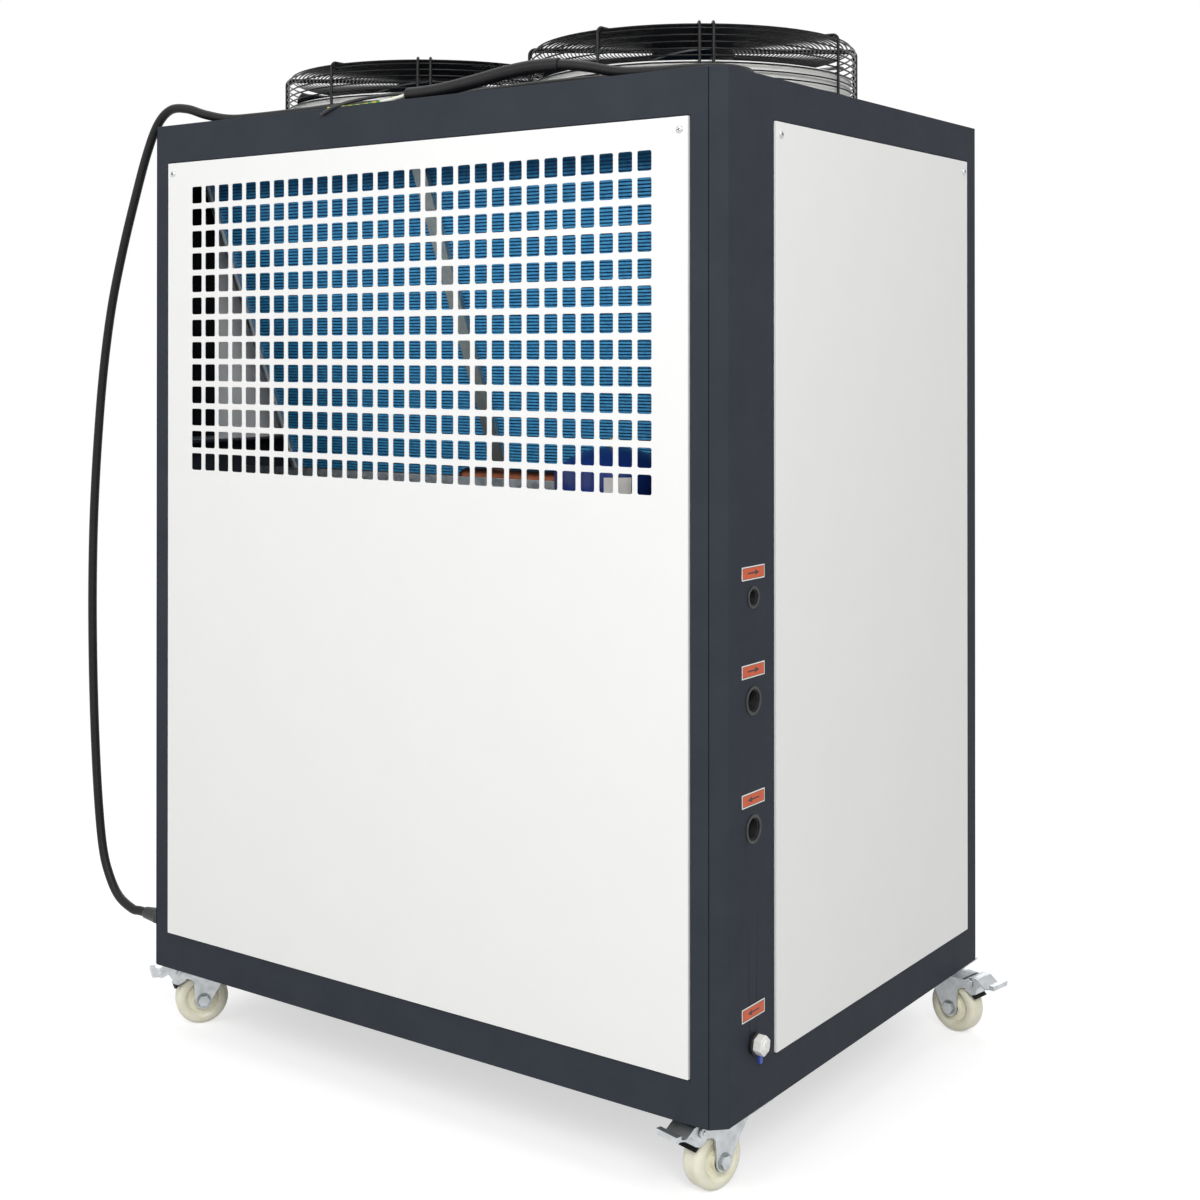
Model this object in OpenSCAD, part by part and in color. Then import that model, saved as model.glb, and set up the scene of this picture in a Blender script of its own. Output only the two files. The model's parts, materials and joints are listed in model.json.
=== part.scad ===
// Air cooled water chiller on braked swivel casters: a folded sheet cabinet with
// a V of finned coils, two axial fans in wire guards on the roof and a power cable.
// Millimetres, +Z up, origin on the floor under the middle of the cabinet,
// grille face towards -Y.

/* [Cabinet] */
// Width of the cabinet along the grille face
cab_w = 1044; // [1000:1:1200]
// Depth of the cabinet from grille face to grille face
cab_d = 776; // [740:1:900]
// Height of the cabinet without casters and fans
cab_h = 1300; // [1260:1:1400]
// Leg of the chamfer down each upright corner
corner_chamfer = 18; // [10:1:24]
// Thickness of the folded frame sheet
sheet_t = 2; // [1:0.5:3]
// Thickness of the floor of the base pan
floor_t = 3; // [2:0.5:5]
// Height of the turned up edge of the base pan
pan_edge_h = 40; // [25:1:44]
// Depth of the turned down edge of the roof deck
deck_edge_h = 30; // [15:1:40]

/* [Panels] */
// Frame border beside the grille panels
grille_side_margin = 45; // [35:1:60]
// Frame border above the grille panels
grille_top_margin = 58; // [50:1:80]
// Frame border below the grille panels
grille_bottom_margin = 54; // [50:1:80]
// Frame border that carries the water ports, beside the right panel
port_strip_w = 129; // [115:1:150]
// Frame border beside the plain panels where no ports are
side_margin = 52; // [45:1:70]
// Frame border above the plain panels
side_top_margin = 54; // [50:1:80]
// Frame border below the plain panels
side_bottom_margin = 56; // [50:1:80]
// Depth of the rebate that each panel sits in
rebate_depth = 10; // [6:1:14]
// Width of the lip behind each panel edge
lip_w = 20; // [12:1:30]
// Sheet thickness of the panels
panel_t = 1.5; // [1:0.5:2.5]
// How far the panels stand proud of the frame
panel_proud = 2.5; // [0.5:0.5:5]
// Gap between a panel and its frame
panel_gap = 1.5; // [0.5:0.5:3]

/* [Grille] */
// Number of holes across a grille
grille_columns = 29; // [20:1:29]
// Number of holes up a grille
grille_rows = 13; // [8:1:14]
// Width of a grille hole
hole_w = 21.5; // [15:0.5:25]
// Height of a grille hole
hole_h = 25.4; // [18:0.1:29]
// Corner of a grille hole
hole_corner = 3; // [1:0.5:6]
// Distance between hole centres across
hole_pitch_x = 29.35; // [27:0.05:31]
// Distance between hole centres up
hole_pitch_z = 33.8; // [31:0.1:36]
// From the cabinet top down to the centres of the top row
grille_drop = 111; // [100:1:140]

/* [Coils] */
// Gap between the coils' upper end and the roof
coil_top_gap = 30.5; // [28:0.5:80]
// Thickness of a coil through its tube rows
coil_thick = 66; // [44:1:80]
// Lean of a coil from upright
coil_tilt = 23; // [20:0.5:24]
// From the cabinet face back to the lower edge of a coil
coil_setback = 234; // [228:1:250]
// From the cabinet side in to the outer end of a coil
coil_side_gap = 92; // [80:1:120]
// Gap between the two coils of a pair
coil_mid_gap = 24; // [18:1:50]
// Width of the folded flange of a coil end plate
end_flange_w = 11; // [8:0.5:11.5]
// Border of a coil end plate round its coil
end_plate_border = 6; // [3:0.5:8]

/* [Coil support] */
// Height of the rails' underside above the cabinet's bottom
rail_z = 747; // [700:1:780]
// Height of a side rail
rail_h = 65; // [50:1:90]
// Width of a side rail's flanges
rail_w = 40; // [30:1:60]
// Sheet thickness of rails, tray and end plates
support_t = 2; // [1.5:0.5:3]
// From the coils' lower edge forward to the tray's lip
tray_front_room = 46; // [46:1:66]
// Height of the coil tray
tray_h = 18; // [12:1:24]
// Height of a coil above the tray floor
coil_lift = 14; // [10:1:20]

/* [Refrigerant parts] */
// Diameter of the receiver tank
tank_d = 160; // [120:1:165]
// Height of the receiver tank above the base pan
tank_h = 820; // [600:1:840]
// Place of the tank from the middle of the cabinet
tank_x = 290; // [285:1:340]
// From the grille face back to the tank's middle
tank_setback = 104; // [98:1:106]
// Diameter of the copper header
header_d = 28; // [16:1:28]
// Length of the copper header
header_len = 245; // [120:1:300]
// Middle of the copper header from the middle of the cabinet
header_x = 62; // [0:1:70]

/* [Fans] */
// Gap between the two fan guards
guard_mid_gap = 12; // [8:1:20]
// Place of the fans behind (+) or before (-) the cabinet's middle
fan_y = -25; // [-40:1:40]
// From the ring's inside out to the guard's side
ring_guard_gap = 16; // [14:0.5:30]
// Width of the ring's foot
ring_foot_w = 9; // [6:0.5:10]
// Height of the fan ring
ring_h = 42; // [30:1:60]
// Sheet thickness of the fan ring
ring_t = 2; // [1.5:0.5:3]
// Gap between blade tips and ring
tip_gap = 6; // [5:0.5:12]
// Number of blades on a fan
blade_count = 5; // [3:1:7]
// Pitch of the blades
blade_pitch = 18; // [10:1:22]
// Thickness of a blade
blade_t = 2.5; // [1.5:0.5:4]
// Radius of the hollow side of a blade
blade_camber_r = 320; // [260:5:500]
// Radius of the rotor's hub
hub_r = 55; // [45:1:62]
// Height of the rotor's hub
hub_h = 60; // [45:1:62]
// Radius of the motor shaft
shaft_r = 8; // [5:0.5:12]
// Radius of the motor's top flange
motor_flange_r = 60; // [50:1:70]
// Thickness of the motor's top flange
motor_flange_t = 12; // [6:1:16]

/* [Fan guards] */
// From a fan guard out to the cabinet's side
guard_side_gap = 28; // [26:1:40]
// Height of the guard's top wires above the roof
guard_h = 91; // [88:1:110]
// Thickness of the spoke and leg wires
spoke_w = 4.5; // [3:0.5:5]
// Thickness of the ring wires
ring_wire = 3; // [2:0.5:4]
// Number of rings on the guard's top
top_rings = 13; // [6:1:15]
// Distance between the rings on the guard's top
top_ring_pitch = 14.5; // [10:0.5:15]
// Number of rings round the guard's side
side_rings = 5; // [2:1:5]
// Distance between the rings round the guard's side
side_ring_pitch = 9; // [7:0.5:9]
// Half distance between the two wires of a doubled spoke
spoke_pair_half = 9.5; // [6:0.5:14]
// Direction of the first doubled spoke
guard_turn = -53; // [-90:1:90]

/* [Ports] */
// From the grille face back to the line of ports
port_setback = 76; // [60:1:90]
// Height of the tap water inlet above the cabinet's bottom
tap_z = 643; // [600:1:680]
// Height of the water inlet above the cabinet's bottom
inlet_z = 514; // [450:1:560]
// Height of the water outlet above the cabinet's bottom
outlet_z = 354; // [250:1:420]
// Height of the drain above the cabinet's bottom
drain_z = 87; // [75:1:150]
// Outer radius of the tap water socket
tap_r = 13; // [11.5:0.5:16]
// Bore radius of the tap water socket, half inch pipe thread
tap_bore_r = 9.3; // [8:0.1:9.8]
// Outer radius of the chilled water sockets
water_r = 17; // [14.5:0.5:20]
// Bore radius of the chilled water sockets, three quarter inch pipe thread
water_bore_r = 12.05; // [10:0.05:12.5]
// How far the sockets stand out of the frame
socket_out = 11; // [8:1:20]
// How far the sockets reach inside the frame
socket_in = 34; // [26:1:50]
// Depth of the thread in a socket
socket_bore_depth = 24; // [16:1:24]
// Radius of the drain nipple
drain_r = 9; // [7:0.5:10]
// Radius of the drain cap
drain_cap_r = 13.5; // [12:0.5:16]
// Gap round a fitting in its hole
fitting_gap = 0.3; // [0.1:0.1:1]

/* [Casters] */
// Height of a caster from floor to top plate
caster_h = 104; // [103:1:120]
// Diameter of the wheels
wheel_d = 80; // [70:1:80]
// Width of the wheels' tread
wheel_w = 32; // [24:1:33]
// Width of the wheels' hub
wheel_hub_w = 37; // [34:0.5:38]
// Distance of the axle behind the swivel
caster_trail = 30; // [24:1:32]
// Radius of the axle
axle_r = 6; // [4:0.5:7]
// Radius of the kingpin
kingpin_r = 6; // [4:0.5:8]
// Running gap at pins and bores
running_gap = 0.05; // [0.02:0.01:0.1]
// Clear width between the fork's legs
fork_gap = 40; // [40:0.5:44]
// Thickness of the fork's sheet
fork_t = 3; // [2:0.5:4]
// Width of the caster's top plate
caster_plate_w = 90; // [70:1:94]
// Depth of the caster's top plate
caster_plate_d = 72; // [60:1:76]
// Thickness of the caster's top plate
caster_plate_t = 4; // [3:0.5:5]
// Swivel of the right casters in from the cabinet's side
caster_inset_right = 48; // [48:1:60]
// Swivel of the left casters in from the cabinet's side
caster_inset_left = 58; // [48:1:64]
// Swivel of the front casters in from the grille face
caster_inset_front = 96; // [60:1:110]
// Swivel of the rear casters in from the rear face
caster_inset_rear = 40; // [40:1:100]
// Reach of the brake pedal from the swivel
pedal_reach = 108; // [104:1:114]
// Gap between the brake pedal and each leg of the fork
pedal_side_gap = 1; // [0.5:0.5:3]
// Radius of the brake pedal's pin
pedal_pin_r = 3; // [2.5:0.5:3.5]
// Distance of the pedal's pin beyond the axle
pedal_pin_ahead = 34; // [32:1:38]
// Height of the pedal's pin above the axle
pedal_pin_up = 45; // [44:1:47]

/* [Cable] */
// Diameter of the power cable
cable_d = 14; // [10:0.5:14]
// Diameter of the sleeve at the cable's end
sleeve_d = 19; // [16:0.5:20]
// Diameter of one core
core_d = 5; // [3:0.5:5]
// From the grille face back to the cable gland
gland_setback = 34; // [32:1:36]
// Height of the cable gland above the cabinet's bottom
gland_z = 60; // [58:1:80]
// Length of the gland's body outside the frame
gland_body_len = 16; // [12:1:20]
// Length of the gland's tapered sleeve
gland_taper_len = 30; // [20:1:40]
// Radius of the gland's body across its corners
gland_r = 14; // [11:0.5:15]

/* [Hidden] */
$fn = 48;

// Finishes
frame_grey = "#454A52";
panel_white = "#F4F4F2";
galvanised = "#B5BABD";
fin_blue = "#2A78A8";
tank_blue = "#1F3F8A";
copper = "#B5703F";
wire_black = "#16171A";
zinc = "#C8CBCD";
nylon_cream = "#EEEBCD";
rubber_black = "#1B1B1D";

// Through cuts run this far past the faces they cut
cut = 1;
// Levels
bottom_z = caster_h;
roof_z = caster_h + cab_h;
tray_floor_z = bottom_z + rail_z + support_t;
// Chamfer inside the frame sheet, which the base pan and the roof deck fit
inner_chamfer = corner_chamfer - (2 - sqrt(2)) * sheet_t;
// Plan of the folded corner: where the inner fold lies along the face
inner_fold = corner_chamfer + (sqrt(2) - 1) * sheet_t;
// Room behind the frame's lips
lip_back = rebate_depth + sheet_t;
// Panel openings in the frames as [left, bottom, right, top] seen along the inward normal
grille_opening = [
    -cab_w / 2 + grille_side_margin, bottom_z + grille_bottom_margin,
    cab_w / 2 - grille_side_margin, roof_z - grille_top_margin
];
right_opening = [
    -cab_d / 2 + port_strip_w, bottom_z + side_bottom_margin,
    cab_d / 2 - side_margin, roof_z - side_top_margin
];
left_opening = [
    -cab_d / 2 + side_margin, bottom_z + side_bottom_margin,
    cab_d / 2 - side_margin, roof_z - side_top_margin
];
// Line of ports on the right side and of the gland on the left side, from the middle
port_y = -cab_d / 2 + port_setback;
gland_y = -cab_d / 2 + gland_setback;
// Locking nuts of the fittings
nut_t = 6;
nut_rim = 5;
// Slope of the coils, up from the tray to under the roof
coil_len = (
    roof_z - sheet_t - coil_top_gap - tray_floor_z - coil_lift - coil_thick * sin(coil_tilt)
) / cos(coil_tilt);
tray_half_d = cab_d / 2 - coil_setback + tray_front_room;
// Fans side by side across the roof
guard_r = (cab_w / 2 - guard_side_gap - guard_mid_gap / 2) / 2;
fan_x = guard_mid_gap / 2 + guard_r;
ring_inner_r = guard_r - ring_guard_gap;
ring_foot_r = ring_inner_r + ring_foot_w;
// Drain nipple's end outside the frame, where its cap starts
nipple_out = 8;
// Fan parts, heights above the roof
motor_gap = 5;
hub_top = guard_h - motor_flange_t - motor_gap;
tip_r = ring_inner_r - tip_gap;
blade_sweep = 46;
guard_wire_r = guard_r - spoke_w;
// Caster parts, in a frame at the swivel with +X towards the wheel
wheel_r = wheel_d / 2;
fork_top = caster_h - 12;
crown_t = 6;
bearing_r = 24;
bearing_gap = 0.4;
kingpin_head_r = 9;
kingpin_head_t = 6;
pedal_pin = [caster_trail + pedal_pin_ahead, wheel_r + pedal_pin_up];
pedal_knuckle_r = 6;
pedal_sheet = 2.5;
crown_back = 18;
// Casters as [swivel x, swivel y, heading]
CASTERS = [
    [-cab_w / 2 + caster_inset_left, -cab_d / 2 + caster_inset_front, 236],
    [cab_w / 2 - caster_inset_right, -cab_d / 2 + caster_inset_front, 256],
    [-cab_w / 2 + caster_inset_left, cab_d / 2 - caster_inset_rear, 165],
    [cab_w / 2 - caster_inset_right, cab_d / 2 - caster_inset_rear, -10]
];
// Route of the cable from the gland up to the roof and round to its end
CABLE_ROUTE = [
    [-568, -354, 164], [-584, -354, 164], [-602, -354, 164], [-636, -353, 178], [-661, -352, 208],
    [-677, -352, 250], [-690, -351, 330], [-700, -350, 440], [-705, -350, 560], [-706, -350, 680],
    [-702, -350, 800], [-692, -350, 920], [-678, -350, 1030], [-658, -350, 1130], [-632, -349, 1220],
    [-604, -348, 1300], [-578, -346, 1370], [-554, -344, 1416], [-526, -342, 1437],
    [-490, -340, 1436], [-450, -337, 1424], [-400, -334, 1414], [-340, -331, 1412],
    [-240, -326, 1412], [-140, -320, 1412], [-40, -313, 1412], [60, -306, 1412], [160, -300, 1412],
    [250, -293, 1412], [320, -280, 1412], [376, -258, 1412], [420, -243, 1412], [464, -246, 1412],
    [496, -272, 1412], [504, -310, 1412], [490, -344, 1412], [456, -364, 1412], [410, -366, 1412],
    [340, -366, 1412], [260, -366, 1412]
];
// Route of the sleeve, on from the cable's end
SLEEVE_ROUTE = [[260, -366, 1414], [180, -366, 1414], [100, -366, 1414], [12, -366, 1414]];
// Routes of the bare cores
CORE_ROUTES = [
    [[12, -360, 1414], [4, -360, 1414], [-4, -360, 1414], [-34, -355, 1409], [-60, -352, 1407]],
    [
        [12, -366, 1414], [4, -366, 1414], [-4, -366, 1414], [-34, -367, 1411], [-80, -363, 1407],
        [-130, -354, 1407], [-180, -350, 1407]
    ],
    [
        [12, -372, 1414], [4, -372, 1414], [-4, -372, 1414], [-34, -374, 1411], [-90, -378, 1407],
        [-140, -381, 1407], [-190, -384, 1407]
    ]
];
core_colours = ["white", "yellowgreen", rubber_black];

// Box between two opposite corners
module span(a, b) {
    translate(a) cube(b - a);
}

// Octagon plan of the cabinet, drawn in from its faces
module cabinet_plan(inset, chamfer) {
    x = cab_w / 2 - inset;
    y = cab_d / 2 - inset;
    polygon([
        [x - chamfer, -y], [x, -y + chamfer], [x, y - chamfer], [x - chamfer, y],
        [-x + chamfer, y], [-x, y - chamfer], [-x, -y + chamfer], [-x + chamfer, -y]
    ]);
}

// Stands its children on one side of the cabinet, drawn as seen looking inwards:
// x to the right, y inwards, z up
module on_front() { translate([0, -cab_d / 2, 0]) children(); }
module on_rear() { rotate([0, 0, 180]) on_front() children(); }
module on_right() { translate([cab_w / 2, 0, 0]) rotate([0, 0, 90]) children(); }
module on_left() { translate([-cab_w / 2, 0, 0]) rotate([0, 0, -90]) children(); }

// A face sheet with a rebated opening: step and lip are folded in behind the panel
module rebated(opening) {
    lo = [opening[0], 0, opening[1]];
    hi = [opening[2], 0, opening[3]];
    step = [sheet_t, 0, sheet_t];
    lip = [lip_w, 0, lip_w];
    difference() {
        union() {
            children();
            span(lo - step, hi + step + [0, lip_back, 0]);
        }
        span(lo - [0, cut, 0], hi + [0, rebate_depth, 0]);
        span(lo + lip - [0, cut, 0], hi - lip + [0, lip_back + cut, 0]);
    }
}

// Flat frame of a grille face
module grille_frame() {
    x = cab_w / 2 - corner_chamfer;
    rebated(grille_opening) span([-x, 0, bottom_z], [x, sheet_t, roof_z]);
}

// Frame of a plain side, folded round both corner chamfers
module side_frame(opening) {
    y = cab_d / 2;
    rebated(opening)
        translate([0, 0, bottom_z])
        linear_extrude(cab_h)
        polygon([
            [-y, corner_chamfer], [-y + corner_chamfer, 0], [y - corner_chamfer, 0], [y, corner_chamfer],
            [y - sqrt(2) * sheet_t, corner_chamfer], [y - inner_fold, sheet_t],
            [-y + inner_fold, sheet_t], [-y + sqrt(2) * sheet_t, corner_chamfer]
        ]);
}

module front_frame() {
    color(frame_grey) on_front() grille_frame();
}

module rear_frame() {
    color(frame_grey) on_rear() grille_frame();
}

// Left frame, drilled for the cable gland
module left_frame() {
    color(frame_grey)
    difference() {
        on_left() side_frame(left_opening);
        translate([-cab_w / 2, gland_y, bottom_z + gland_z])
            rotate([0, 90, 0])
            cylinder(r = cable_d / 2 + fitting_gap, h = 3 * sheet_t, center = true);
    }
}

// Right frame, drilled for the water fittings
module right_frame() {
    fittings = [[tap_z, tap_r], [inlet_z, water_r], [outlet_z, water_r], [drain_z, drain_r]];
    color(frame_grey)
    difference() {
        on_right() side_frame(right_opening);
        for (f = fittings)
            translate([cab_w / 2, port_y, bottom_z + f[0]])
                rotate([0, 90, 0])
                cylinder(r = f[1] + fitting_gap, h = 3 * sheet_t, center = true);
    }
}

// Floor of the cabinet, with its edge turned up inside the frames
module base_pan() {
    color(frame_grey)
    translate([0, 0, bottom_z])
    difference() {
        linear_extrude(pan_edge_h) cabinet_plan(sheet_t, inner_chamfer);
        translate([0, 0, floor_t])
            linear_extrude(pan_edge_h)
            cabinet_plan(2 * sheet_t, inner_chamfer - (2 - sqrt(2)) * sheet_t);
    }
}

// Roof of the cabinet, with its edge turned down inside the frames and two fan openings
module roof_deck() {
    color(frame_grey)
    translate([0, 0, roof_z])
    difference() {
        translate([0, 0, -deck_edge_h])
            linear_extrude(deck_edge_h) cabinet_plan(sheet_t, inner_chamfer);
        translate([0, 0, -deck_edge_h - sheet_t])
            linear_extrude(deck_edge_h)
            cabinet_plan(2 * sheet_t, inner_chamfer - (2 - sqrt(2)) * sheet_t);
        for (side = [-1, 1])
            translate([side * fan_x, fan_y, -deck_edge_h])
                cylinder(r = ring_inner_r, h = 2 * deck_edge_h, $fn = 96);
    }
}

// A shallow pan that sits in a frame's rebate, its face drawn by the children
module pan_panel(opening) {
    lo = [opening[0] + panel_gap, -panel_proud, opening[1] + panel_gap];
    hi = [opening[2] - panel_gap, rebate_depth, opening[3] - panel_gap];
    wall = [panel_t, 0, panel_t];
    difference() {
        span(lo + [0, panel_t, 0], hi);
        span(lo + wall, hi - wall + [0, cut, 0]);
    }
    translate([0, panel_t - panel_proud, 0])
        rotate([90, 0, 0])
        linear_extrude(panel_t)
        children();
}

// Plain panel face between two heights
module plain_face(opening, low, high) {
    width = opening[2] - opening[0] - 2 * panel_gap;
    translate([opening[0] + panel_gap, low]) square([width, high - low]);
}

// Outline of one grille hole
module hole_outline() {
    x = hole_w / 2;
    z = hole_h / 2;
    c = hole_corner * (2 - sqrt(2));
    polygon([
        [x - c, -z], [x, -z + c], [x, z - c], [x - c, z],
        [-x + c, z], [-x, z - c], [-x, -z + c], [-x + c, -z]
    ]);
}

// Face of a grille panel: plain below and above, with rows of holes between
module grille_face() {
    top = roof_z - grille_drop + hole_pitch_z / 2;
    low = top - grille_rows * hole_pitch_z;
    plain_face(grille_opening, grille_opening[1] + panel_gap, low);
    plain_face(grille_opening, top, grille_opening[3] - panel_gap);
    for (row = [0 : grille_rows - 1])
        difference() {
            plain_face(grille_opening, top - (row + 1) * hole_pitch_z, top - row * hole_pitch_z);
            for (column = [0 : grille_columns - 1])
                translate([(column - (grille_columns - 1) / 2) * hole_pitch_x, top - (row + 0.5) * hole_pitch_z])
                    hole_outline();
        }
}

module front_panel() {
    color(panel_white) on_front() pan_panel(grille_opening) grille_face();
}

module rear_panel() {
    color(panel_white) on_rear() pan_panel(grille_opening) grille_face();
}

module left_panel() {
    color(panel_white)
    on_left()
    pan_panel(left_opening)
    plain_face(left_opening, left_opening[1] + panel_gap, left_opening[3] - panel_gap);
}

module right_panel() {
    color(panel_white)
    on_right()
    pan_panel(right_opening)
    plain_face(right_opening, right_opening[1] + panel_gap, right_opening[3] - panel_gap);
}

// Channels along both sides, fixed to the side frames' lips
module side_rails() {
    length = cab_d - 2 * lip_back - 2 * fitting_gap;
    color(frame_grey)
    for (side = [0, 1])
        mirror([side, 0, 0])
        translate([cab_w / 2 - lip_back, 0, bottom_z + rail_z - support_t])
        rotate([90, 0, 0])
        linear_extrude(length, center = true)
        difference() {
            translate([-rail_w, 0]) square([rail_w, rail_h]);
            translate([-rail_w - cut, support_t]) square([rail_w + cut - support_t, rail_h - 2 * support_t]);
        }
}

// Tray under the V, its ends on the rails' lower flanges
module coil_tray() {
    half_len = cab_w / 2 - lip_back - support_t - 1;
    color(galvanised)
    difference() {
        span(
            [-half_len, -tray_half_d, tray_floor_z - support_t],
            [half_len, tray_half_d, tray_floor_z - support_t + tray_h]
        );
        span(
            [-half_len - cut, -tray_half_d + support_t, tray_floor_z],
            [half_len + cut, tray_half_d - support_t, tray_floor_z + tray_h]
        );
    }
}

// Lays its children in the slope of the front coils: x through the coil, y up the slope
module on_slope() {
    translate([-cab_d / 2 + coil_setback, tray_floor_z + coil_lift])
        rotate(coil_tilt)
        children();
}

// Extrudes a drawing of the y-z plane along the cabinet's width
module along_width(x, length) {
    translate([x, 0, 0])
        rotate([90, 0, 90])
        linear_extrude(length)
        children();
}

// Two finned coils side by side
module coil_pair() {
    length = cab_w / 2 - coil_side_gap - coil_mid_gap / 2;
    for (x = [coil_mid_gap / 2, -coil_mid_gap / 2 - length])
        along_width(x, length) on_slope() square([coil_thick, coil_len]);
}

module front_coils() {
    color(fin_blue) coil_pair();
}

module rear_coils() {
    color(fin_blue) rotate([0, 0, 180]) coil_pair();
}

// Web of an end plate: a border round the coil, a foot in the tray and a tab up to the roof
module end_plate_web() {
    b = end_plate_border;
    top_y = -cab_d / 2 + coil_setback - (coil_len - b) * sin(coil_tilt);
    top_z = tray_floor_z + coil_lift + (coil_len - b) * cos(coil_tilt);
    foot_y = -cab_d / 2 + coil_setback;
    on_slope() translate([-b, -b]) square([coil_thick + 2 * b, coil_len + 2 * b]);
    translate([foot_y, tray_floor_z]) square([coil_thick * cos(coil_tilt), 2 * coil_lift]);
    translate([top_y, top_z]) square([coil_thick * cos(coil_tilt), roof_z - sheet_t - top_z]);
}

// End plate with its flange folded outwards along the coil's face
module end_plate() {
    b = end_plate_border;
    along_width(0, support_t) end_plate_web();
    along_width(0, end_flange_w) on_slope() translate([-b, -b]) square([support_t, coil_len + 2 * b]);
}

module coil_end_plates() {
    outer_x = cab_w / 2 - coil_side_gap;
    inner_x = coil_mid_gap / 2;
    color(galvanised)
    for (back = [0, 180])
        rotate([0, 0, back])
        for (side = [0, 1])
            mirror([side, 0, 0]) {
                translate([outer_x, 0, 0]) end_plate();
                translate([inner_x, 0, 0]) mirror([1, 0, 0]) end_plate();
            }
}

// Upright receiver with a domed top, on the floor of the base pan
module receiver_tank() {
    r = tank_d / 2;
    dome_h = 30;
    dome_r = (r * r + dome_h * dome_h) / (2 * dome_h);
    color(tank_blue)
    translate([tank_x, -cab_d / 2 + tank_setback, bottom_z + floor_t]) {
        cylinder(r = r, h = tank_h - dome_h);
        intersection() {
            translate([0, 0, tank_h - dome_r]) sphere(r = dome_r, $fn = 96);
            translate([0, 0, tank_h - dome_h - cut]) cylinder(r = r, h = dome_h + 2 * cut);
        }
    }
}

// Copper header in the front of the tray, with domed ends
module copper_header() {
    r = header_d / 2;
    y = -tray_half_d + support_t + fitting_gap + r;
    color(copper)
    translate([header_x - header_len / 2, y, tray_floor_z + fitting_gap / 2 + r])
    rotate([0, 90, 0]) {
        translate([0, 0, r]) cylinder(r = r, h = header_len - 2 * r);
        for (z = [r, header_len - r])
            translate([0, 0, z]) sphere(r = r);
    }
}

// Stands its children on the roof at one fan
module at_fan(side) {
    translate([side * fan_x, fan_y, roof_z]) children();
}

// White ring round the blades: foot, wall with two beads and a rolled rim
module fan_ring(side) {
    bead = 2;
    color(panel_white)
    at_fan(side)
    rotate_extrude($fn = 96)
    union() {
        translate([ring_inner_r, 0]) square([ring_foot_r - ring_inner_r, ring_t]);
        translate([ring_inner_r, 0]) square([ring_t, ring_h - bead]);
        for (level = [ring_h / 3, 2 * ring_h / 3, ring_h - bead])
            translate([ring_inner_r + bead, level]) circle(r = bead, $fn = 24);
    }
}

// Places its children at every spoke wire: four doubled spokes with single ones between
module at_spokes() {
    for (quarter = [0 : 3]) {
        rotate(guard_turn + 90 * quarter) {
            translate([0, spoke_pair_half, 0]) children();
            translate([0, -spoke_pair_half, 0]) children();
        }
        rotate(guard_turn + 90 * quarter + 45) children();
    }
}

// Flat top of a wire guard: spokes with rings laid on them
module fan_guard(side) {
    inner_r = guard_wire_r - top_rings * top_ring_pitch;
    spoke_in = 24;
    sunk = 1;
    color(wire_black)
    at_fan(side) {
        at_spokes()
            span([spoke_in, -spoke_w / 2, guard_h], [guard_r, spoke_w / 2, guard_h + spoke_w]);
        for (ring = [1 : top_rings])
            translate([0, 0, guard_h + spoke_w - sunk])
                rotate_extrude($fn = 96)
                translate([inner_r + ring * top_ring_pitch, 0]) square(ring_wire);
    }
}

// Side of a wire guard: legs from the roof up to the spokes, with rings round them
module fan_cage(side) {
    sunk = 1.5;
    first_drop = 2;
    color(wire_black)
    at_fan(side) {
        at_spokes() span([guard_wire_r, -spoke_w / 2, 0], [guard_r, spoke_w / 2, guard_h]);
        for (ring = [0 : side_rings - 1])
            translate([0, 0, guard_h - ring_wire - first_drop - ring * side_ring_pitch])
                rotate_extrude($fn = 96)
                translate([guard_r - sunk, 0]) square(ring_wire);
    }
}

// Stator under the guard's spokes, with the fixed shaft that carries the rotor
module fan_motor(side) {
    color(wire_black)
    at_fan(side) {
        translate([0, 0, guard_h - motor_flange_t]) cylinder(r = motor_flange_r, h = motor_flange_t);
        translate([0, 0, hub_top - hub_h]) cylinder(r = shaft_r, h = hub_h + motor_gap + cut);
    }
}

// One cambered blade: a curved sheet cut to a sickle outline
module fan_blade() {
    lift = hub_top - hub_h / 2;
    half = blade_sweep / 2;
    far = 2 * tip_r;
    root_sunk = 4;
    intersection() {
        translate([0, 0, lift - tip_r])
            linear_extrude(2 * tip_r)
            difference() {
                intersection() {
                    circle(r = tip_r, $fn = 96);
                    polygon([[0, 0], far * [cos(half), -sin(half)], far * [cos(half), sin(half)]]);
                }
                circle(r = hub_r - root_sunk);
            }
        translate([0, 0, lift])
            rotate([blade_pitch, 0, 0])
            translate([0, 0, -blade_camber_r])
            rotate([0, 90, 0])
            difference() {
                cylinder(r = blade_camber_r + blade_t / 2, h = far, $fn = 96);
                translate([0, 0, -cut]) cylinder(r = blade_camber_r - blade_t / 2, h = far + 2 * cut, $fn = 96);
            }
    }
}

// Rotor: hub with a bore for the shaft and its blades
module fan_rotor(side) {
    color(wire_black)
    at_fan(side)
    difference() {
        union() {
            translate([0, 0, hub_top - hub_h]) cylinder(r = hub_r, h = hub_h);
            for (blade = [0 : blade_count - 1])
                rotate(blade * 360 / blade_count) fan_blade();
        }
        translate([0, 0, hub_top - hub_h - cut])
            cylinder(r = shaft_r + running_gap, h = hub_h + 2 * cut);
    }
}

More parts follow.
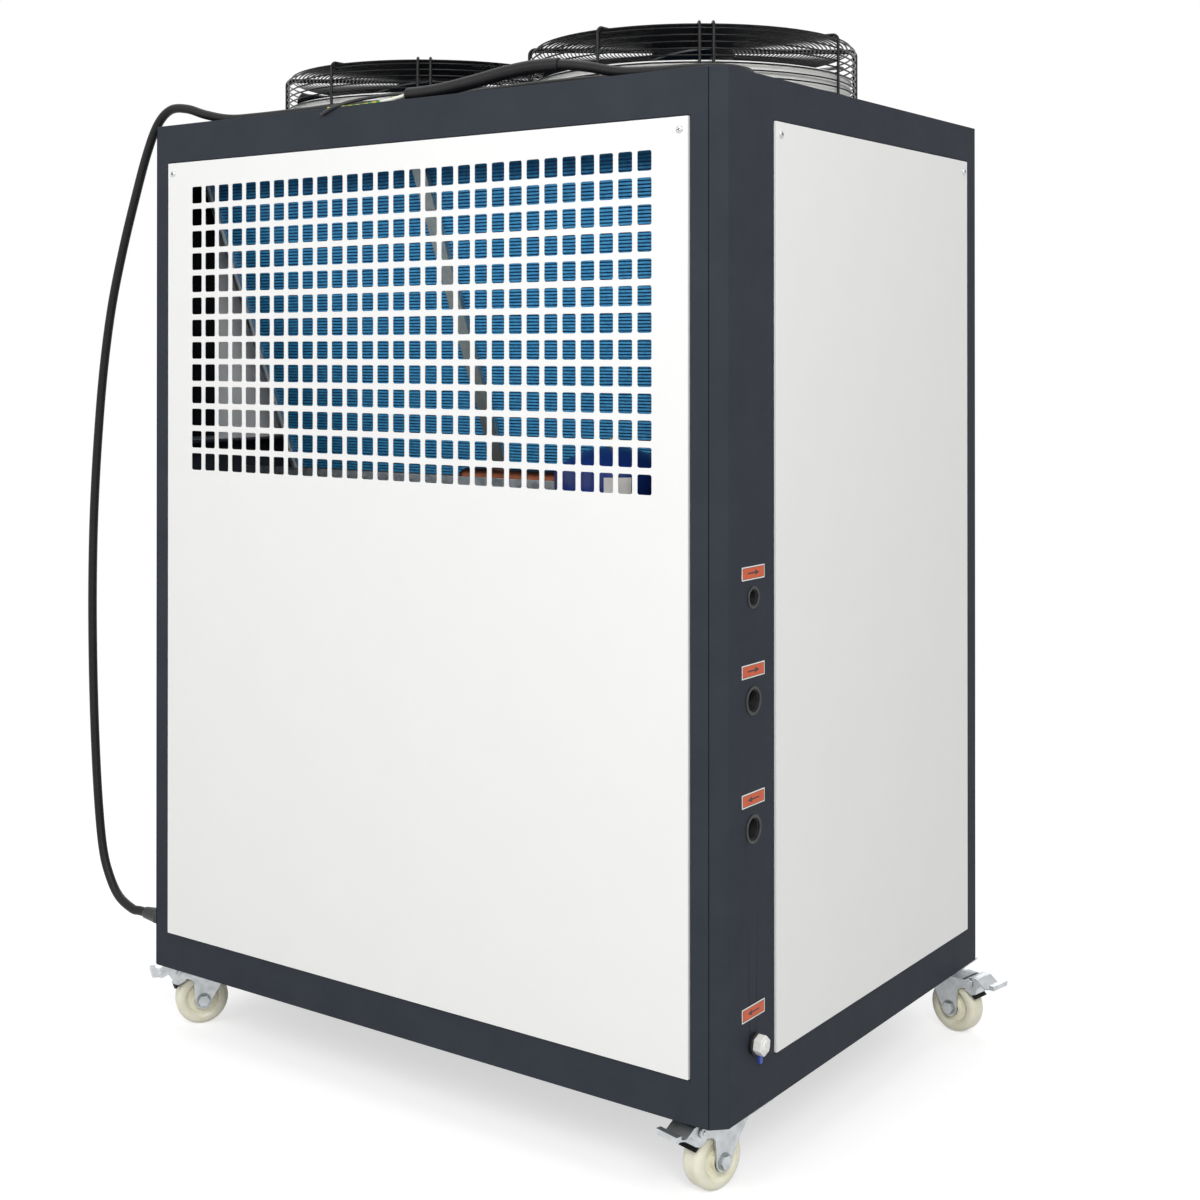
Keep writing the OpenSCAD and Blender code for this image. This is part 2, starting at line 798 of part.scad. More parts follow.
// Threaded pipe socket through the right frame, held by a collar and a locking nut
module pipe_socket(z, r, bore_r) {
    color(wire_black)
    translate([cab_w / 2, port_y, bottom_z + z])
    rotate([0, 90, 0])
    difference() {
        union() {
            translate([0, 0, -socket_in]) cylinder(r = r, h = socket_in + socket_out);
            translate([0, 0, -sheet_t - nut_t]) cylinder(r = r + nut_rim, h = nut_t, $fn = 6);
            cylinder(r = r + nut_rim / 2, h = nut_t / 2);
        }
        translate([0, 0, socket_out - socket_bore_depth]) cylinder(r = bore_r, h = socket_bore_depth + cut);
    }
}

module tap_inlet() {
    pipe_socket(tap_z, tap_r, tap_bore_r);
}

module water_inlet() {
    pipe_socket(inlet_z, water_r, water_bore_r);
}

module water_outlet() {
    pipe_socket(outlet_z, water_r, water_bore_r);
}

// Drain nipple through the right frame
module drain_nipple() {
    color(wire_black)
    translate([cab_w / 2, port_y, bottom_z + drain_z])
    rotate([0, 90, 0]) {
        translate([0, 0, -socket_in]) cylinder(r = drain_r, h = socket_in + nipple_out);
        translate([0, 0, -sheet_t - nut_t]) cylinder(r = drain_r + nut_rim, h = nut_t, $fn = 6);
        cylinder(r = drain_r + nut_rim / 2, h = nut_t / 2);
    }
}

// White screw cap on the drain nipple
module drain_cap() {
    cap_len = 22;
    flange_len = 6;
    flange_rim = 1.5;
    color(panel_white)
    translate([cab_w / 2 + nipple_out, port_y, bottom_z + drain_z])
    rotate([0, 90, 0]) {
        cylinder(r = drain_cap_r, h = flange_len);
        cylinder(r = drain_cap_r - flange_rim, h = cap_len, $fn = 8);
    }
}

// Turns its children to one caster's swivel
module at_caster(corner) {
    translate([CASTERS[corner][0], CASTERS[corner][1], 0])
        rotate(CASTERS[corner][2])
        children();
}

// Fixed half of a caster: top plate, bearing cup and kingpin
module caster_plates() {
    pin_low = fork_top - crown_t - bearing_gap;
    color(zinc)
    for (corner = [0 : 3])
        translate([CASTERS[corner][0], CASTERS[corner][1], 0]) {
            translate([-caster_plate_w / 2, -caster_plate_d / 2, caster_h - caster_plate_t])
                cube([caster_plate_w, caster_plate_d, caster_plate_t]);
            translate([0, 0, fork_top + bearing_gap])
                cylinder(r = bearing_r, h = caster_h - fork_top - bearing_gap - cut);
            translate([0, 0, pin_low - kingpin_head_t])
                cylinder(r = kingpin_r, h = caster_h - pin_low + kingpin_head_t - cut);
            translate([0, 0, pin_low - kingpin_head_t])
                cylinder(r = kingpin_head_r, h = kingpin_head_t);
        }
}

// Draws its children on a plane upright through the swivel, as thick as said
module across_caster(thickness) {
    rotate([90, 0, 0]) linear_extrude(thickness, center = true) children();
}

// Outline of one fork leg: an arm to the pedal's pin and a leg down to the axle's eye
module leg_outline() {
    eye_r = axle_r + 7;
    ear_r = pedal_pin_r + 4;
    arm_h = 14;
    leg_half = 15;
    inner_corner = 5;
    knee = [-30, 28];
    top = fork_top - crown_t + fork_t;
    axle = [caster_trail, wheel_r];
    front = axle[0] + leg_half;
    translate(axle) circle(r = eye_r);
    translate(pedal_pin) circle(r = ear_r);
    polygon([
        [-crown_back, top], [pedal_pin[0], top], pedal_pin + [ear_r, 0], pedal_pin - [0, ear_r],
        [front + inner_corner, top - arm_h], [front, top - arm_h - inner_corner],
        axle + [eye_r, 0], axle - [eye_r, 0], axle + knee, [-crown_back + fork_t, top - fork_t]
    ]);
}

// Swivelling fork: crown with the kingpin's bore, two legs, the axle and the pedal's pin
module caster_fork() {
    low = fork_top - crown_t;
    roof_end = pedal_pin[0] - 12;
    half_w = fork_gap / 2 + fork_t;
    bolt_head_t = 5;
    bolt_head_r = axle_r + 3;
    pin_head_t = 1.5;
    crown_r = bearing_r + 3;
    color(zinc)
    difference() {
        union() {
            translate([0, 0, low]) cylinder(r = crown_r, h = crown_t);
            span([-crown_back, -half_w, low], [roof_end, half_w, low + fork_t]);
            for (side = [-1, 1])
                translate([0, side * (half_w - fork_t / 2), 0]) across_caster(fork_t) leg_outline();
            translate([caster_trail, 0, wheel_r]) rotate([90, 0, 0]) {
                cylinder(r = axle_r, h = 2 * half_w, center = true);
                for (side = [0, 180])
                    rotate([side, 0, 0])
                        translate([0, 0, half_w - fork_t / 2])
                        cylinder(r = bolt_head_r, h = fork_t / 2 + bolt_head_t, $fn = 6);
            }
            translate([pedal_pin[0], 0, pedal_pin[1]]) rotate([90, 0, 0])
                cylinder(r = pedal_pin_r, h = 2 * (half_w + pin_head_t), center = true);
        }
        translate([0, 0, low - cut]) cylinder(r = kingpin_r + running_gap, h = crown_t + 2 * cut);
    }
}

// Nylon wheel: tread with rounded edges, dished sides and a longer hub
module caster_wheel() {
    edge_r = 9;
    rim_in = wheel_r - 12;
    web_w = wheel_w - 12;
    hub_out = axle_r + 8;
    color(nylon_cream)
    translate([caster_trail, 0, wheel_r])
    rotate([90, 0, 0])
    rotate_extrude($fn = 96) {
        translate([rim_in, -wheel_w / 2]) square([wheel_r - rim_in - edge_r, wheel_w]);
        translate([rim_in, -wheel_w / 2 + edge_r]) square([wheel_r - rim_in, wheel_w - 2 * edge_r]);
        for (side = [-1, 1])
            translate([wheel_r - edge_r, side * (wheel_w / 2 - edge_r)]) circle(r = edge_r, $fn = 32);
        translate([hub_out - 2, -web_w / 2]) square([rim_in - hub_out + 4, web_w]);
        translate([axle_r + running_gap, -wheel_hub_w / 2]) square([hub_out - axle_r - running_gap, wheel_hub_w]);
    }
}

// Side view of the brake pedal about its pin: a bent treadle over the cheeks and the shoe
module pedal_outline() {
    tip = pedal_reach - pedal_pin[0];
    polygon([
        [-4, 6], [6, 9.5], [14, 8.5], [22, 2.5], [28, -1.5], [35, 0.5], [tip, 3],
        [tip, 3 - pedal_sheet], [35, 0.5 - pedal_sheet], [28, -1.5 - pedal_sheet], [20, 0.5],
        [13, -8], [12, -15], [4, -18], [-8, -12], [-5, -4]
    ]);
}

// Brake pedal: treadle with a bar along its tip, and a knuckle on its pin
module caster_pedal() {
    width = fork_gap - 2 * pedal_side_gap;
    bar = [8, 7];
    color(zinc)
    translate([pedal_pin[0], 0, pedal_pin[1]])
    rotate([90, 0, 0])
    difference() {
        union() {
            linear_extrude(width, center = true) pedal_outline();
            cylinder(r = pedal_knuckle_r, h = width, center = true);
            translate([pedal_reach - pedal_pin[0] - bar[0], -bar[1] / 4, -width / 2])
                cube([bar[0], bar[1], width]);
        }
        cylinder(r = pedal_pin_r + running_gap, h = width + 2 * cut, center = true);
    }
}

// Cable gland with a locking nut, a hexagon body and a tapered sleeve
module cable_gland() {
    shank_r = cable_d / 2;
    shank_in = sheet_t + nut_t + 4;
    sleeve_wall = 2;
    nut_r = gland_r - 1;
    color(wire_black)
    translate([-cab_w / 2, gland_y, bottom_z + gland_z])
    rotate([0, -90, 0]) {
        translate([0, 0, -shank_in]) cylinder(r = shank_r, h = shank_in + cut);
        translate([0, 0, -sheet_t - nut_t]) cylinder(r = nut_r, h = nut_t, $fn = 6);
        cylinder(r = gland_r, h = gland_body_len, $fn = 6);
        translate([0, 0, gland_body_len])
            cylinder(r1 = gland_r * cos(30), r2 = cable_d / 2 + sleeve_wall, h = gland_taper_len);
    }
}

// Point at fraction t between b and c on a smooth curve through a, b, c and d
function smooth_point(a, b, c, d, t) =
    0.5 * (2 * b + (c - a) * t + (2 * a - 5 * b + 4 * c - d) * t * t + (3 * b - a - 3 * c + d) * t * t * t);

// Route with a midpoint set on the curve between each pair of its points
function smooth_route(route) = let (last = len(route) - 1) [
    for (i = [0 : last - 1])
        for (t = [0, 0.5])
            smooth_point(route[max(i - 1, 0)], route[i], route[i + 1], route[min(i + 2, last)], t),
    route[last]
];

function unit(v) = v / norm(v);

// Direction of the route at each point
function directions(path) = let (last = len(path) - 1) [
    for (i = [0 : last]) unit(path[min(i + 1, last)] - path[max(i - 1, 0)])
];

// Sideways direction at each point, carried along the route without twisting
function sideways(dirs) = [
    for (
        i = 0, side = unit(cross(dirs[0], [0.3, 1, 0.2]));
        i < len(dirs);
        i = i + 1, side = i < len(dirs) ? unit(side - (side * dirs[i]) * dirs[i]) : side
    )
        side
];

// Round tube swept along a route
module tube_along(path, r, sides) {
    dirs = directions(path);
    across = sideways(dirs);
    rings = len(path);
    points = [
        for (i = [0 : rings - 1])
            for (k = [0 : sides - 1])
                let (a = 360 * k / sides)
                path[i] + r * (cos(a) * across[i] + sin(a) * cross(dirs[i], across[i]))
    ];
    walls = [
        for (i = [0 : rings - 2])
            for (k = [0 : sides - 1])
                let (n = (k + 1) % sides)
                [i * sides + k, (i + 1) * sides + k, (i + 1) * sides + n, i * sides + n]
    ];
    start = [for (k = [0 : sides - 1]) k];
    end = [for (k = [sides - 1 : -1 : 0]) (rings - 1) * sides + k];
    polyhedron(points, concat([start], walls, [end]));
}

module power_cable() {
    color(rubber_black) tube_along(smooth_route(CABLE_ROUTE), cable_d / 2, 10);
}

module cable_sleeve() {
    color(rubber_black) tube_along(smooth_route(SLEEVE_ROUTE), sleeve_d / 2, 10);
}

module cable_cores() {
    for (core = [0 : len(CORE_ROUTES) - 1])
        color(core_colours[core]) tube_along(smooth_route(CORE_ROUTES[core]), core_d / 2, 8);
}

base_pan();
front_frame();
rear_frame();
left_frame();
right_frame();
roof_deck();
front_panel();
rear_panel();
left_panel();
right_panel();
side_rails();
coil_tray();
front_coils();
rear_coils();
coil_end_plates();
receiver_tank();
copper_header();
fan_ring(-1);  // fan_ring_left
fan_ring(1);  // fan_ring_right
fan_guard(-1);  // fan_guard_left
fan_guard(1);  // fan_guard_right
fan_cage(-1);  // fan_cage_left
fan_cage(1);  // fan_cage_right
fan_motor(-1);  // fan_motor_left
fan_motor(1);  // fan_motor_right
fan_rotor(-1);  // fan_rotor_left
fan_rotor(1);  // fan_rotor_right
tap_inlet();
water_inlet();
water_outlet();
drain_nipple();
drain_cap();
caster_plates();
at_caster(0) caster_fork();  // front_left_fork
at_caster(1) caster_fork();  // front_right_fork
at_caster(2) caster_fork();  // rear_left_fork
at_caster(3) caster_fork();  // rear_right_fork
at_caster(0) caster_wheel();  // front_left_wheel
at_caster(1) caster_wheel();  // front_right_wheel
at_caster(2) caster_wheel();  // rear_left_wheel
at_caster(3) caster_wheel();  // rear_right_wheel
at_caster(0) caster_pedal();  // front_left_pedal
at_caster(1) caster_pedal();  // front_right_pedal
at_caster(2) caster_pedal();  // rear_left_pedal
at_caster(3) caster_pedal();  // rear_right_pedal
cable_gland();
power_cable();
cable_sleeve();
cable_cores();
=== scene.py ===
import json
import math

import bpy
from mathutils import Matrix, Vector


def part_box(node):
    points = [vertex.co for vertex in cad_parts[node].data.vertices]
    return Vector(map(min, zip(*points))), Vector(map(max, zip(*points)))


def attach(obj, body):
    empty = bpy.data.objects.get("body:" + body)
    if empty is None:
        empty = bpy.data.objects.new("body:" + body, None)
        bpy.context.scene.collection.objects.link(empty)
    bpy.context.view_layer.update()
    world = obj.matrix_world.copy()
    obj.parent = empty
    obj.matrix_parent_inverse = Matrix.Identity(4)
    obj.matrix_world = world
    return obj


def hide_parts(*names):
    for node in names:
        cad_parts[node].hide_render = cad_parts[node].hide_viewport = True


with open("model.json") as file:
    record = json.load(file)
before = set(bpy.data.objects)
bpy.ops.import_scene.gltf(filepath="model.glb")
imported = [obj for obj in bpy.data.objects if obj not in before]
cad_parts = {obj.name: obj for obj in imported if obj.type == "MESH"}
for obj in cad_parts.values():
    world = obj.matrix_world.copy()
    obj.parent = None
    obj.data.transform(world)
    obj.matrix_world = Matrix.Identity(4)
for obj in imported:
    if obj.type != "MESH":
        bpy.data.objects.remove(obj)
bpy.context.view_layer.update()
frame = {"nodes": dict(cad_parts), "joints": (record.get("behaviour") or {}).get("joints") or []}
nodes = frame["nodes"]
joints = {joint["name"]: joint for joint in frame["joints"]}
mm = 0.001
print("frame loaded:", len(nodes), "CAD nodes")

# Levels and faces of the cabinet, taken from the frame
cabinet = {
    "right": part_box("right_frame")[1].x,
    "left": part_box("left_frame")[0].x,
    "front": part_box("front_frame")[0].y,
    "rear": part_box("rear_frame")[1].y,
    "bottom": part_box("base_pan")[0].z,
    "roof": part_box("roof_deck")[1].z,
}


# Colours are written as sRGB hex and turned linear here
def toLinear(hexColour):
    parts = [int(hexColour[i:i + 2], 16) / 255 for i in (1, 3, 5)]
    return tuple(p / 12.92 if p <= 0.04045 else ((p + 0.055) / 1.055) ** 2.4 for p in parts) + (1.0,)


# One node, with its settings and with its inputs set or linked
def addNode(tree, kind, settings=None, links=None):
    node = tree.nodes.new(kind)
    for name, value in (settings or {}).items():
        setattr(node, name, value)
    for socket, value in (links or {}).items():
        if isinstance(value, bpy.types.NodeSocket):
            tree.links.new(value, node.inputs[socket])
        else:
            node.inputs[socket].default_value = value
    return node


# A material with its tree, its shader and the coordinates of the piece in metres
def startMaterial(name, **sockets):
    material = bpy.data.materials.new(name)
    material.use_nodes = True
    tree = material.node_tree
    tree.nodes.clear()
    shader = addNode(tree, "ShaderNodeBsdfPrincipled", links=sockets)
    addNode(tree, "ShaderNodeOutputMaterial", links={"Surface": shader.outputs["BSDF"]})
    place = addNode(tree, "ShaderNodeTexCoord").outputs["Object"]
    return material, tree, shader, place


# Noise of a real grain size, as a factor from 0 to 1
def grain(tree, place, size, detail=3.0, rough=0.55):
    return addNode(
        tree, "ShaderNodeTexNoise",
        links={"Vector": place, "Scale": 1 / size, "Detail": detail, "Roughness": rough}
    ).outputs["Fac"]


# Two colours mixed by a factor
def blendColours(tree, factor, first, second, low=0.3, high=0.7):
    ramp = addNode(tree, "ShaderNodeValToRGB", links={"Fac": factor})
    ramp.color_ramp.elements[0].position = low
    ramp.color_ramp.elements[0].color = toLinear(first)
    ramp.color_ramp.elements[1].position = high
    ramp.color_ramp.elements[1].color = toLinear(second)
    return ramp.outputs["Color"]


# A factor stretched to a range of values
def stretch(tree, factor, low, high):
    return addNode(
        tree, "ShaderNodeMapRange", links={"Value": factor, "To Min": low, "To Max": high}
    ).outputs["Result"]


def wire(tree, output, shader, socket):
    tree.links.new(output, shader.inputs[socket])


# Height turned into a bump on the shader
def bumpFrom(tree, shader, height, depth, strength=1.0):
    bump = addNode(
        tree, "ShaderNodeBump", links={"Height": height, "Distance": depth, "Strength": strength}
    )
    wire(tree, bump.outputs["Normal"], shader, "Normal")


# Powder coat, sprayed and baked: a fine even grain, half matt, with a faint mottle
def powderCoat(name, base, mottle, roughness, grainSize, depth, sheen=0.5):
    material, tree, shader, place = startMaterial(name, Roughness=roughness)
    shader.inputs["Specular IOR Level"].default_value = sheen
    wire(tree, blendColours(tree, grain(tree, place, 60 * mm), base, mottle), shader, "Base Color")
    uneven = stretch(tree, grain(tree, place, 14 * mm), roughness - 0.05, roughness + 0.06)
    wire(tree, uneven, shader, "Roughness")
    bumpFrom(tree, shader, grain(tree, place, grainSize, 2.0), depth, 0.5)
    return material


# Galvanised sheet, hot dipped: flat grey metal with a crystal spangle
def galvanisedSheet():
    material, tree, shader, place = startMaterial("galvanisedSheet", Metallic=0.9, Roughness=0.45)
    cells = addNode(
        tree, "ShaderNodeTexVoronoi", {"feature": "F1"},
        {"Vector": place, "Scale": 1 / (9 * mm), "Randomness": 1.0}
    )
    spangle = addNode(tree, "ShaderNodeSeparateColor", links={"Color": cells.outputs["Color"]}).outputs["Red"]
    wire(tree, blendColours(tree, spangle, "#a3a9ac", "#c3c8ca", 0.0, 1.0), shader, "Base Color")
    wire(tree, stretch(tree, spangle, 0.36, 0.52), shader, "Roughness")
    return material


# Aluminium fin with a blue hydrophilic coat, pressed in fine waves: blue crests; the darker trough copy is
# painted shade in the troughs
def coatedFin(name, pitch, base, shade):
    material, tree, shader, place = startMaterial(name, Metallic=0.35, Roughness=0.38)
    fleck = grain(tree, place, 7 * mm, 4.0)
    wire(tree, blendColours(tree, fleck, base, shade), shader, "Base Color")
    wire(tree, stretch(tree, fleck, 0.30, 0.48), shader, "Roughness")
    bumpFrom(tree, shader, grain(tree, place, pitch, 2.0), 0.3 * mm, 0.4)
    return material


# Gloss paint over steel plate: smooth, with a soft orange peel
def glossPaint(name, base, shade, roughness):
    material, tree, shader, place = startMaterial(name, Roughness=roughness)
    wire(tree, blendColours(tree, grain(tree, place, 40 * mm), base, shade), shader, "Base Color")
    bumpFrom(tree, shader, grain(tree, place, 3 * mm, 1.0), 0.15 * mm, 0.35)
    return material


# Drawn copper tube: warm metal, dulled in patches by handling
def drawnCopper():
    material, tree, shader, place = startMaterial("drawnCopper", Metallic=1.0, Roughness=0.3)
    dull = grain(tree, place, 18 * mm, 4.0)
    wire(tree, blendColours(tree, dull, "#9a5b40", "#74432f"), shader, "Base Color")
    wire(tree, stretch(tree, dull, 0.22, 0.45), shader, "Roughness")
    return material


# Bright zinc plate on pressed steel: pale metal with a soft brushed cloudiness
def zincPlate(name="brightZinc", base="#cfd2d4", shade="#b4b8ba", roughness=0.3):
    material, tree, shader, place = startMaterial(name, Metallic=0.85, Roughness=roughness)
    cloud = grain(tree, place, 12 * mm, 5.0)
    wire(tree, blendColours(tree, cloud, base, shade), shader, "Base Color")
    wire(tree, stretch(tree, cloud, roughness - 0.08, roughness + 0.14), shader, "Roughness")
    bumpFrom(tree, shader, grain(tree, place, 1.5 * mm, 2.0), 0.06 * mm, 0.5)
    return material


# Cast nylon: waxy cream plastic that light sinks into a little
def castNylon():
    material, tree, shader, place = startMaterial("castNylon", Roughness=0.36, IOR=1.53)
    shader.inputs["Subsurface Weight"].default_value = 0.15
    shader.inputs["Subsurface Radius"].default_value = (0.008, 0.007, 0.004)
    shader.inputs["Subsurface Scale"].default_value = 0.5
    cloud = grain(tree, place, 25 * mm, 3.0)
    wire(tree, blendColours(tree, cloud, "#f7f5e2", "#efebd2"), shader, "Base Color")
    wire(tree, stretch(tree, grain(tree, place, 6 * mm), 0.28, 0.46), shader, "Roughness")
    return material


# Moulded plastic or rubber: even colour, slight grain, scuffed sheen
def mouldedPlastic(name, base, shade, roughness, grainSize=2 * mm, depth=0.1 * mm, sheen=0.5):
    material, tree, shader, place = startMaterial(name, Roughness=roughness)
    shader.inputs["Specular IOR Level"].default_value = sheen
    wire(tree, blendColours(tree, grain(tree, place, 20 * mm, 3.0), base, shade), shader, "Base Color")
    scuffed = stretch(tree, grain(tree, place, 9 * mm), roughness - 0.07, roughness + 0.09)
    wire(tree, scuffed, shader, "Roughness")
    bumpFrom(tree, shader, grain(tree, place, grainSize, 2.0), depth, 0.5)
    return material


# Frame grain is drawn coarse to show
frameCoat = powderCoat("powderCoatGrey", "#3a3e45", "#363a41", 0.5, 2.2 * mm, 0.12 * mm, 0.03)
panelCoat = powderCoat("powderCoatWhite", "#f1f1f0", "#f0f0ee", 0.42, 2.6 * mm, 0.05 * mm)
ringCoat = powderCoat("powderCoatRing", "#f2f2f0", "#ecece9", 0.45, 2.6 * mm, 0.05 * mm)
wireCoat = powderCoat("powderCoatBlackWire", "#0d0e10", "#141518", 0.34, 2.0 * mm, 0.05 * mm, 0.2)
fanCoat = powderCoat("paintedFanBlack", "#17181b", "#202226", 0.45, 3.0 * mm, 0.1 * mm)
spangled = galvanisedSheet()
finCoat = coatedFin("hydrophilicFin", 3 * mm, "#2a86bd", "#44a6d6")
# Darker copy of the fin: painted shade in the troughs between the fins
finTroughShade = coatedFin("hydrophilicFinPaintedShade", 3 * mm, "#15446a", "#1d5880")
tankPaint = glossPaint("glossPaintBlue", "#1d3a86", "#16307a", 0.28)
copper = drawnCopper()
zinc = zincPlate()
# Darker zinc: on the middle coil strips the dark tone is painted shade; on the axle washers it is their dull
# zinc
dullZincAndShade = zincPlate("dullZincAndPaintedShade", "#a3aaa8", "#939a98", 0.5)
boltZinc = zincPlate("boltZinc", "#d9dbdc", "#bfc2c4", 0.24)
brass = zincPlate("machinedBrass", "#c9a45a", "#a8823f", 0.26)
nylon = castNylon()
fittingBlack = mouldedPlastic("mouldedNylonBlack", "#141517", "#1d1e21", 0.4)
capWhite = mouldedPlastic("mouldedAbsWhite", "#f3f3f0", "#e6e6e2", 0.35)
tabBlue = mouldedPlastic("mouldedTabBlue", "#3a55b8", "#2c46a0", 0.4)
sheathRubber = mouldedPlastic("extrudedRubberSheath", "#111113", "#18181a", 0.46, 3 * mm, 0.2 * mm, 0.25)
sleeveRubber = mouldedPlastic("shrinkSleeveBlack", "#0e0e10", "#161618", 0.42, 4 * mm, 0.3 * mm, 0.25)
pvcWhite = mouldedPlastic("extrudedPvcWhite", "#eceae4", "#dcdad2", 0.4)
pvcBlack = mouldedPlastic("extrudedPvcBlack", "#17171a", "#202023", 0.38)
# Black rubber of the brake shoes and washers; on the screw heads it is painted shade in the cross recess
blackRubberAndSlotShade = mouldedPlastic("brakePadRubberAndSlotShade", "#0d0d0e", "#161617", 0.6, sheen=0.2)
# Flat near-black: painted shade on the sheet inside the left side; on the corner seams it is the dark joint
shadeAndSeamBlack = mouldedPlastic("paintedShadeAndSeamBlack", "#0d0d0e", "#151516", 0.8, sheen=0.1)
# Pale strips at the coil ends: painted highlight where the end edges catch the light
paintedGlintPale = mouldedPlastic("paintedEdgeGlint", "#e3e5e4", "#d6d9d8", 0.5)
labelOrange = mouldedPlastic("vinylOrange", "#d15422", "#c84c1e", 0.45)
labelWhite = mouldedPlastic("vinylWhite", "#f2efe9", "#e8e5df", 0.45)
labelBlack = mouldedPlastic("vinylBlack", "#2a1712", "#221512", 0.45)


# Green and yellow earth core: two stripes that wind round it
def earthStripe():
    material, tree, shader, place = startMaterial("extrudedPvcEarth", Roughness=0.4)
    bands = addNode(
        tree, "ShaderNodeTexWave", {"wave_type": "BANDS", "bands_direction": "DIAGONAL"},
        {"Vector": place, "Scale": 1 / (24 * mm), "Distortion": 0.6}
    )
    stripes = blendColours(tree, bands.outputs["Fac"], "#2f8f3a", "#d7c92e", 0.45, 0.55)
    wire(tree, stripes, shader, "Base Color")
    return material


pvcEarth = earthStripe()
print("materials made:", len(bpy.data.materials))

# The finish of every CAD node, also of those that a piece stands for
nodeFinish = {
    frameCoat: [
        "base_pan", "front_frame", "rear_frame", "left_frame", "right_frame", "roof_deck", "side_rails",
    ],
    panelCoat: ["front_panel", "rear_panel", "left_panel", "right_panel"],
    ringCoat: ["fan_ring_left", "fan_ring_right"],
    wireCoat: ["fan_guard_left", "fan_guard_right", "fan_cage_left", "fan_cage_right"],
    fanCoat: ["fan_motor_left", "fan_motor_right", "fan_rotor_left", "fan_rotor_right"],
    spangled: ["coil_tray", "coil_end_plates"],
    finCoat: ["front_coils", "rear_coils"],
    tankPaint: ["receiver_tank"],
    copper: ["copper_header"],
    fittingBlack: ["tap_inlet", "water_inlet", "water_outlet", "drain_nipple", "cable_gland"],
    capWhite: ["drain_cap"],
    zinc: ["caster_plates"] + [name for name in nodes if name.endswith(("_fork", "_pedal"))],
    nylon: [name for name in nodes if name.endswith("_wheel")],
    sheathRubber: ["power_cable", "cable_sleeve", "cable_cores"],
}
for finish, names in nodeFinish.items():
    for name in names:
        nodes[name].data.materials.clear()
        nodes[name].data.materials.append(finish)

# Folded and moulded edges are softened by a small round: its radius to node names
edgeRounds = {
    0.8 * mm: ["base_pan", "front_frame", "rear_frame", "left_frame", "right_frame", "roof_deck"],
    0.7 * mm: ["left_panel", "right_panel", "coil_tray", "cable_gland"],
    0.5 * mm: ["front_panel", "rear_panel"],
    0.6 * mm: ["caster_plates"] + [name for name in nodes if name.endswith(("_fork", "_pedal"))],
}
for radius, names in edgeRounds.items():
    for name in names:
        weld = nodes[name].modifiers.new("weld", "WELD")
        weld.merge_threshold = 0.01 * mm
        soften = nodes[name].modifiers.new("soften", "BEVEL")
        soften.width = radius
        soften.segments = 2
        soften.limit_method = "ANGLE"
        soften.angle_limit = math.radians(35)
        soften.harden_normals = True
print("CAD nodes finished:", sum(len(names) for names in nodeFinish.values()))


# A shape gathers points, faces and a material number for each face
def startShape():
    return {"points": [], "faces": [], "marks": []}


def addFaces(shape, points, faces, mark=0):
    first = len(shape["points"])
    shape["points"] += [tuple(point) for point in points]
    shape["faces"] += [tuple(first + i for i in face) for face in faces]
    shape["marks"] += [mark] * len(faces)


# Round tube along a path, open with flat ends or closed in a loop
def addTube(shape, path, radius, sides, closed=False, mark=0):
    path = [Vector(point) for point in path]
    count = len(path)
    ways = []
    for i in range(count):
        after = path[(i + 1) % count] if closed else path[min(i + 1, count - 1)]
        before = path[i - 1] if closed else path[max(i - 1, 0)]
        ways.append((after - before).normalized())
    side = ways[0].orthogonal().normalized()
    points = []
    for spot, way in zip(path, ways):
        side = (side - way * side.dot(way)).normalized()
        other = way.cross(side)
        for k in range(sides):
            turn = 2 * math.pi * k / sides
            points.append(spot + radius * (math.cos(turn) * side + math.sin(turn) * other))
    faces = []
    for i in range(count if closed else count - 1):
        for k in range(sides):
            a, b = i * sides + k, i * sides + (k + 1) % sides
            c, d = ((i + 1) % count) * sides + (k + 1) % sides, ((i + 1) % count) * sides + k
            faces.append((a, b, c, d))
    if not closed:
        faces.append(tuple(reversed(range(sides))))
        faces.append(tuple(range((count - 1) * sides, count * sides)))
    addFaces(shape, points, faces, mark)


# Closed solid turned about the local Z axis; the profile runs from axis to axis as (radius, height)
def addLathe(shape, profile, place, sides, mark=0):
    points, faces, rows = [], [], []
    for radius, height in profile:
        if radius < 1e-7:
            rows.append([len(points)])
            points.append(place @ Vector((0, 0, height)))
        else:
            rows.append(list(range(len(points), len(points) + sides)))
            for k in range(sides):
                turn = 2 * math.pi * k / sides
                points.append(place @ Vector((radius * math.cos(turn), radius * math.sin(turn), height)))
    for low, high in zip(rows, rows[1:]):
        for k in range(sides):
            n = (k + 1) % sides
            if len(low) == 1:
                faces.append((low[0], high[n], high[k]))
            elif len(high) == 1:
                faces.append((low[k], low[n], high[0]))
            else:
                faces.append((low[k], low[n], high[n], high[k]))
    addFaces(shape, points, faces, mark)


# Flat outline raised along the local Z axis from low to high
def addPrism(shape, outline, low, high, place, mark=0):
    count = len(outline)
    points = [place @ Vector((x, y, height)) for height in (low, high) for x, y in outline]
    faces = [tuple(reversed(range(count))), tuple(range(count, 2 * count))]
    faces += [(k, (k + 1) % count, count + (k + 1) % count, count + k) for k in range(count)]
    addFaces(shape, points, faces, mark)


# Upright block between two corners
def addBlock(shape, low, high):
    outline = [(low[0], low[1]), (high[0], low[1]), (high[0], high[1]), (low[0], high[1])]
    addPrism(shape, outline, low[2], high[2], Matrix.Identity(4))


# Corner points of a regular polygon
def polygonPoints(radius, sides, turn=0.0):
    return [
        (radius * math.cos(turn + 2 * math.pi * k / sides), radius * math.sin(turn + 2 * math.pi * k / sides))
        for k in range(sides)
    ]


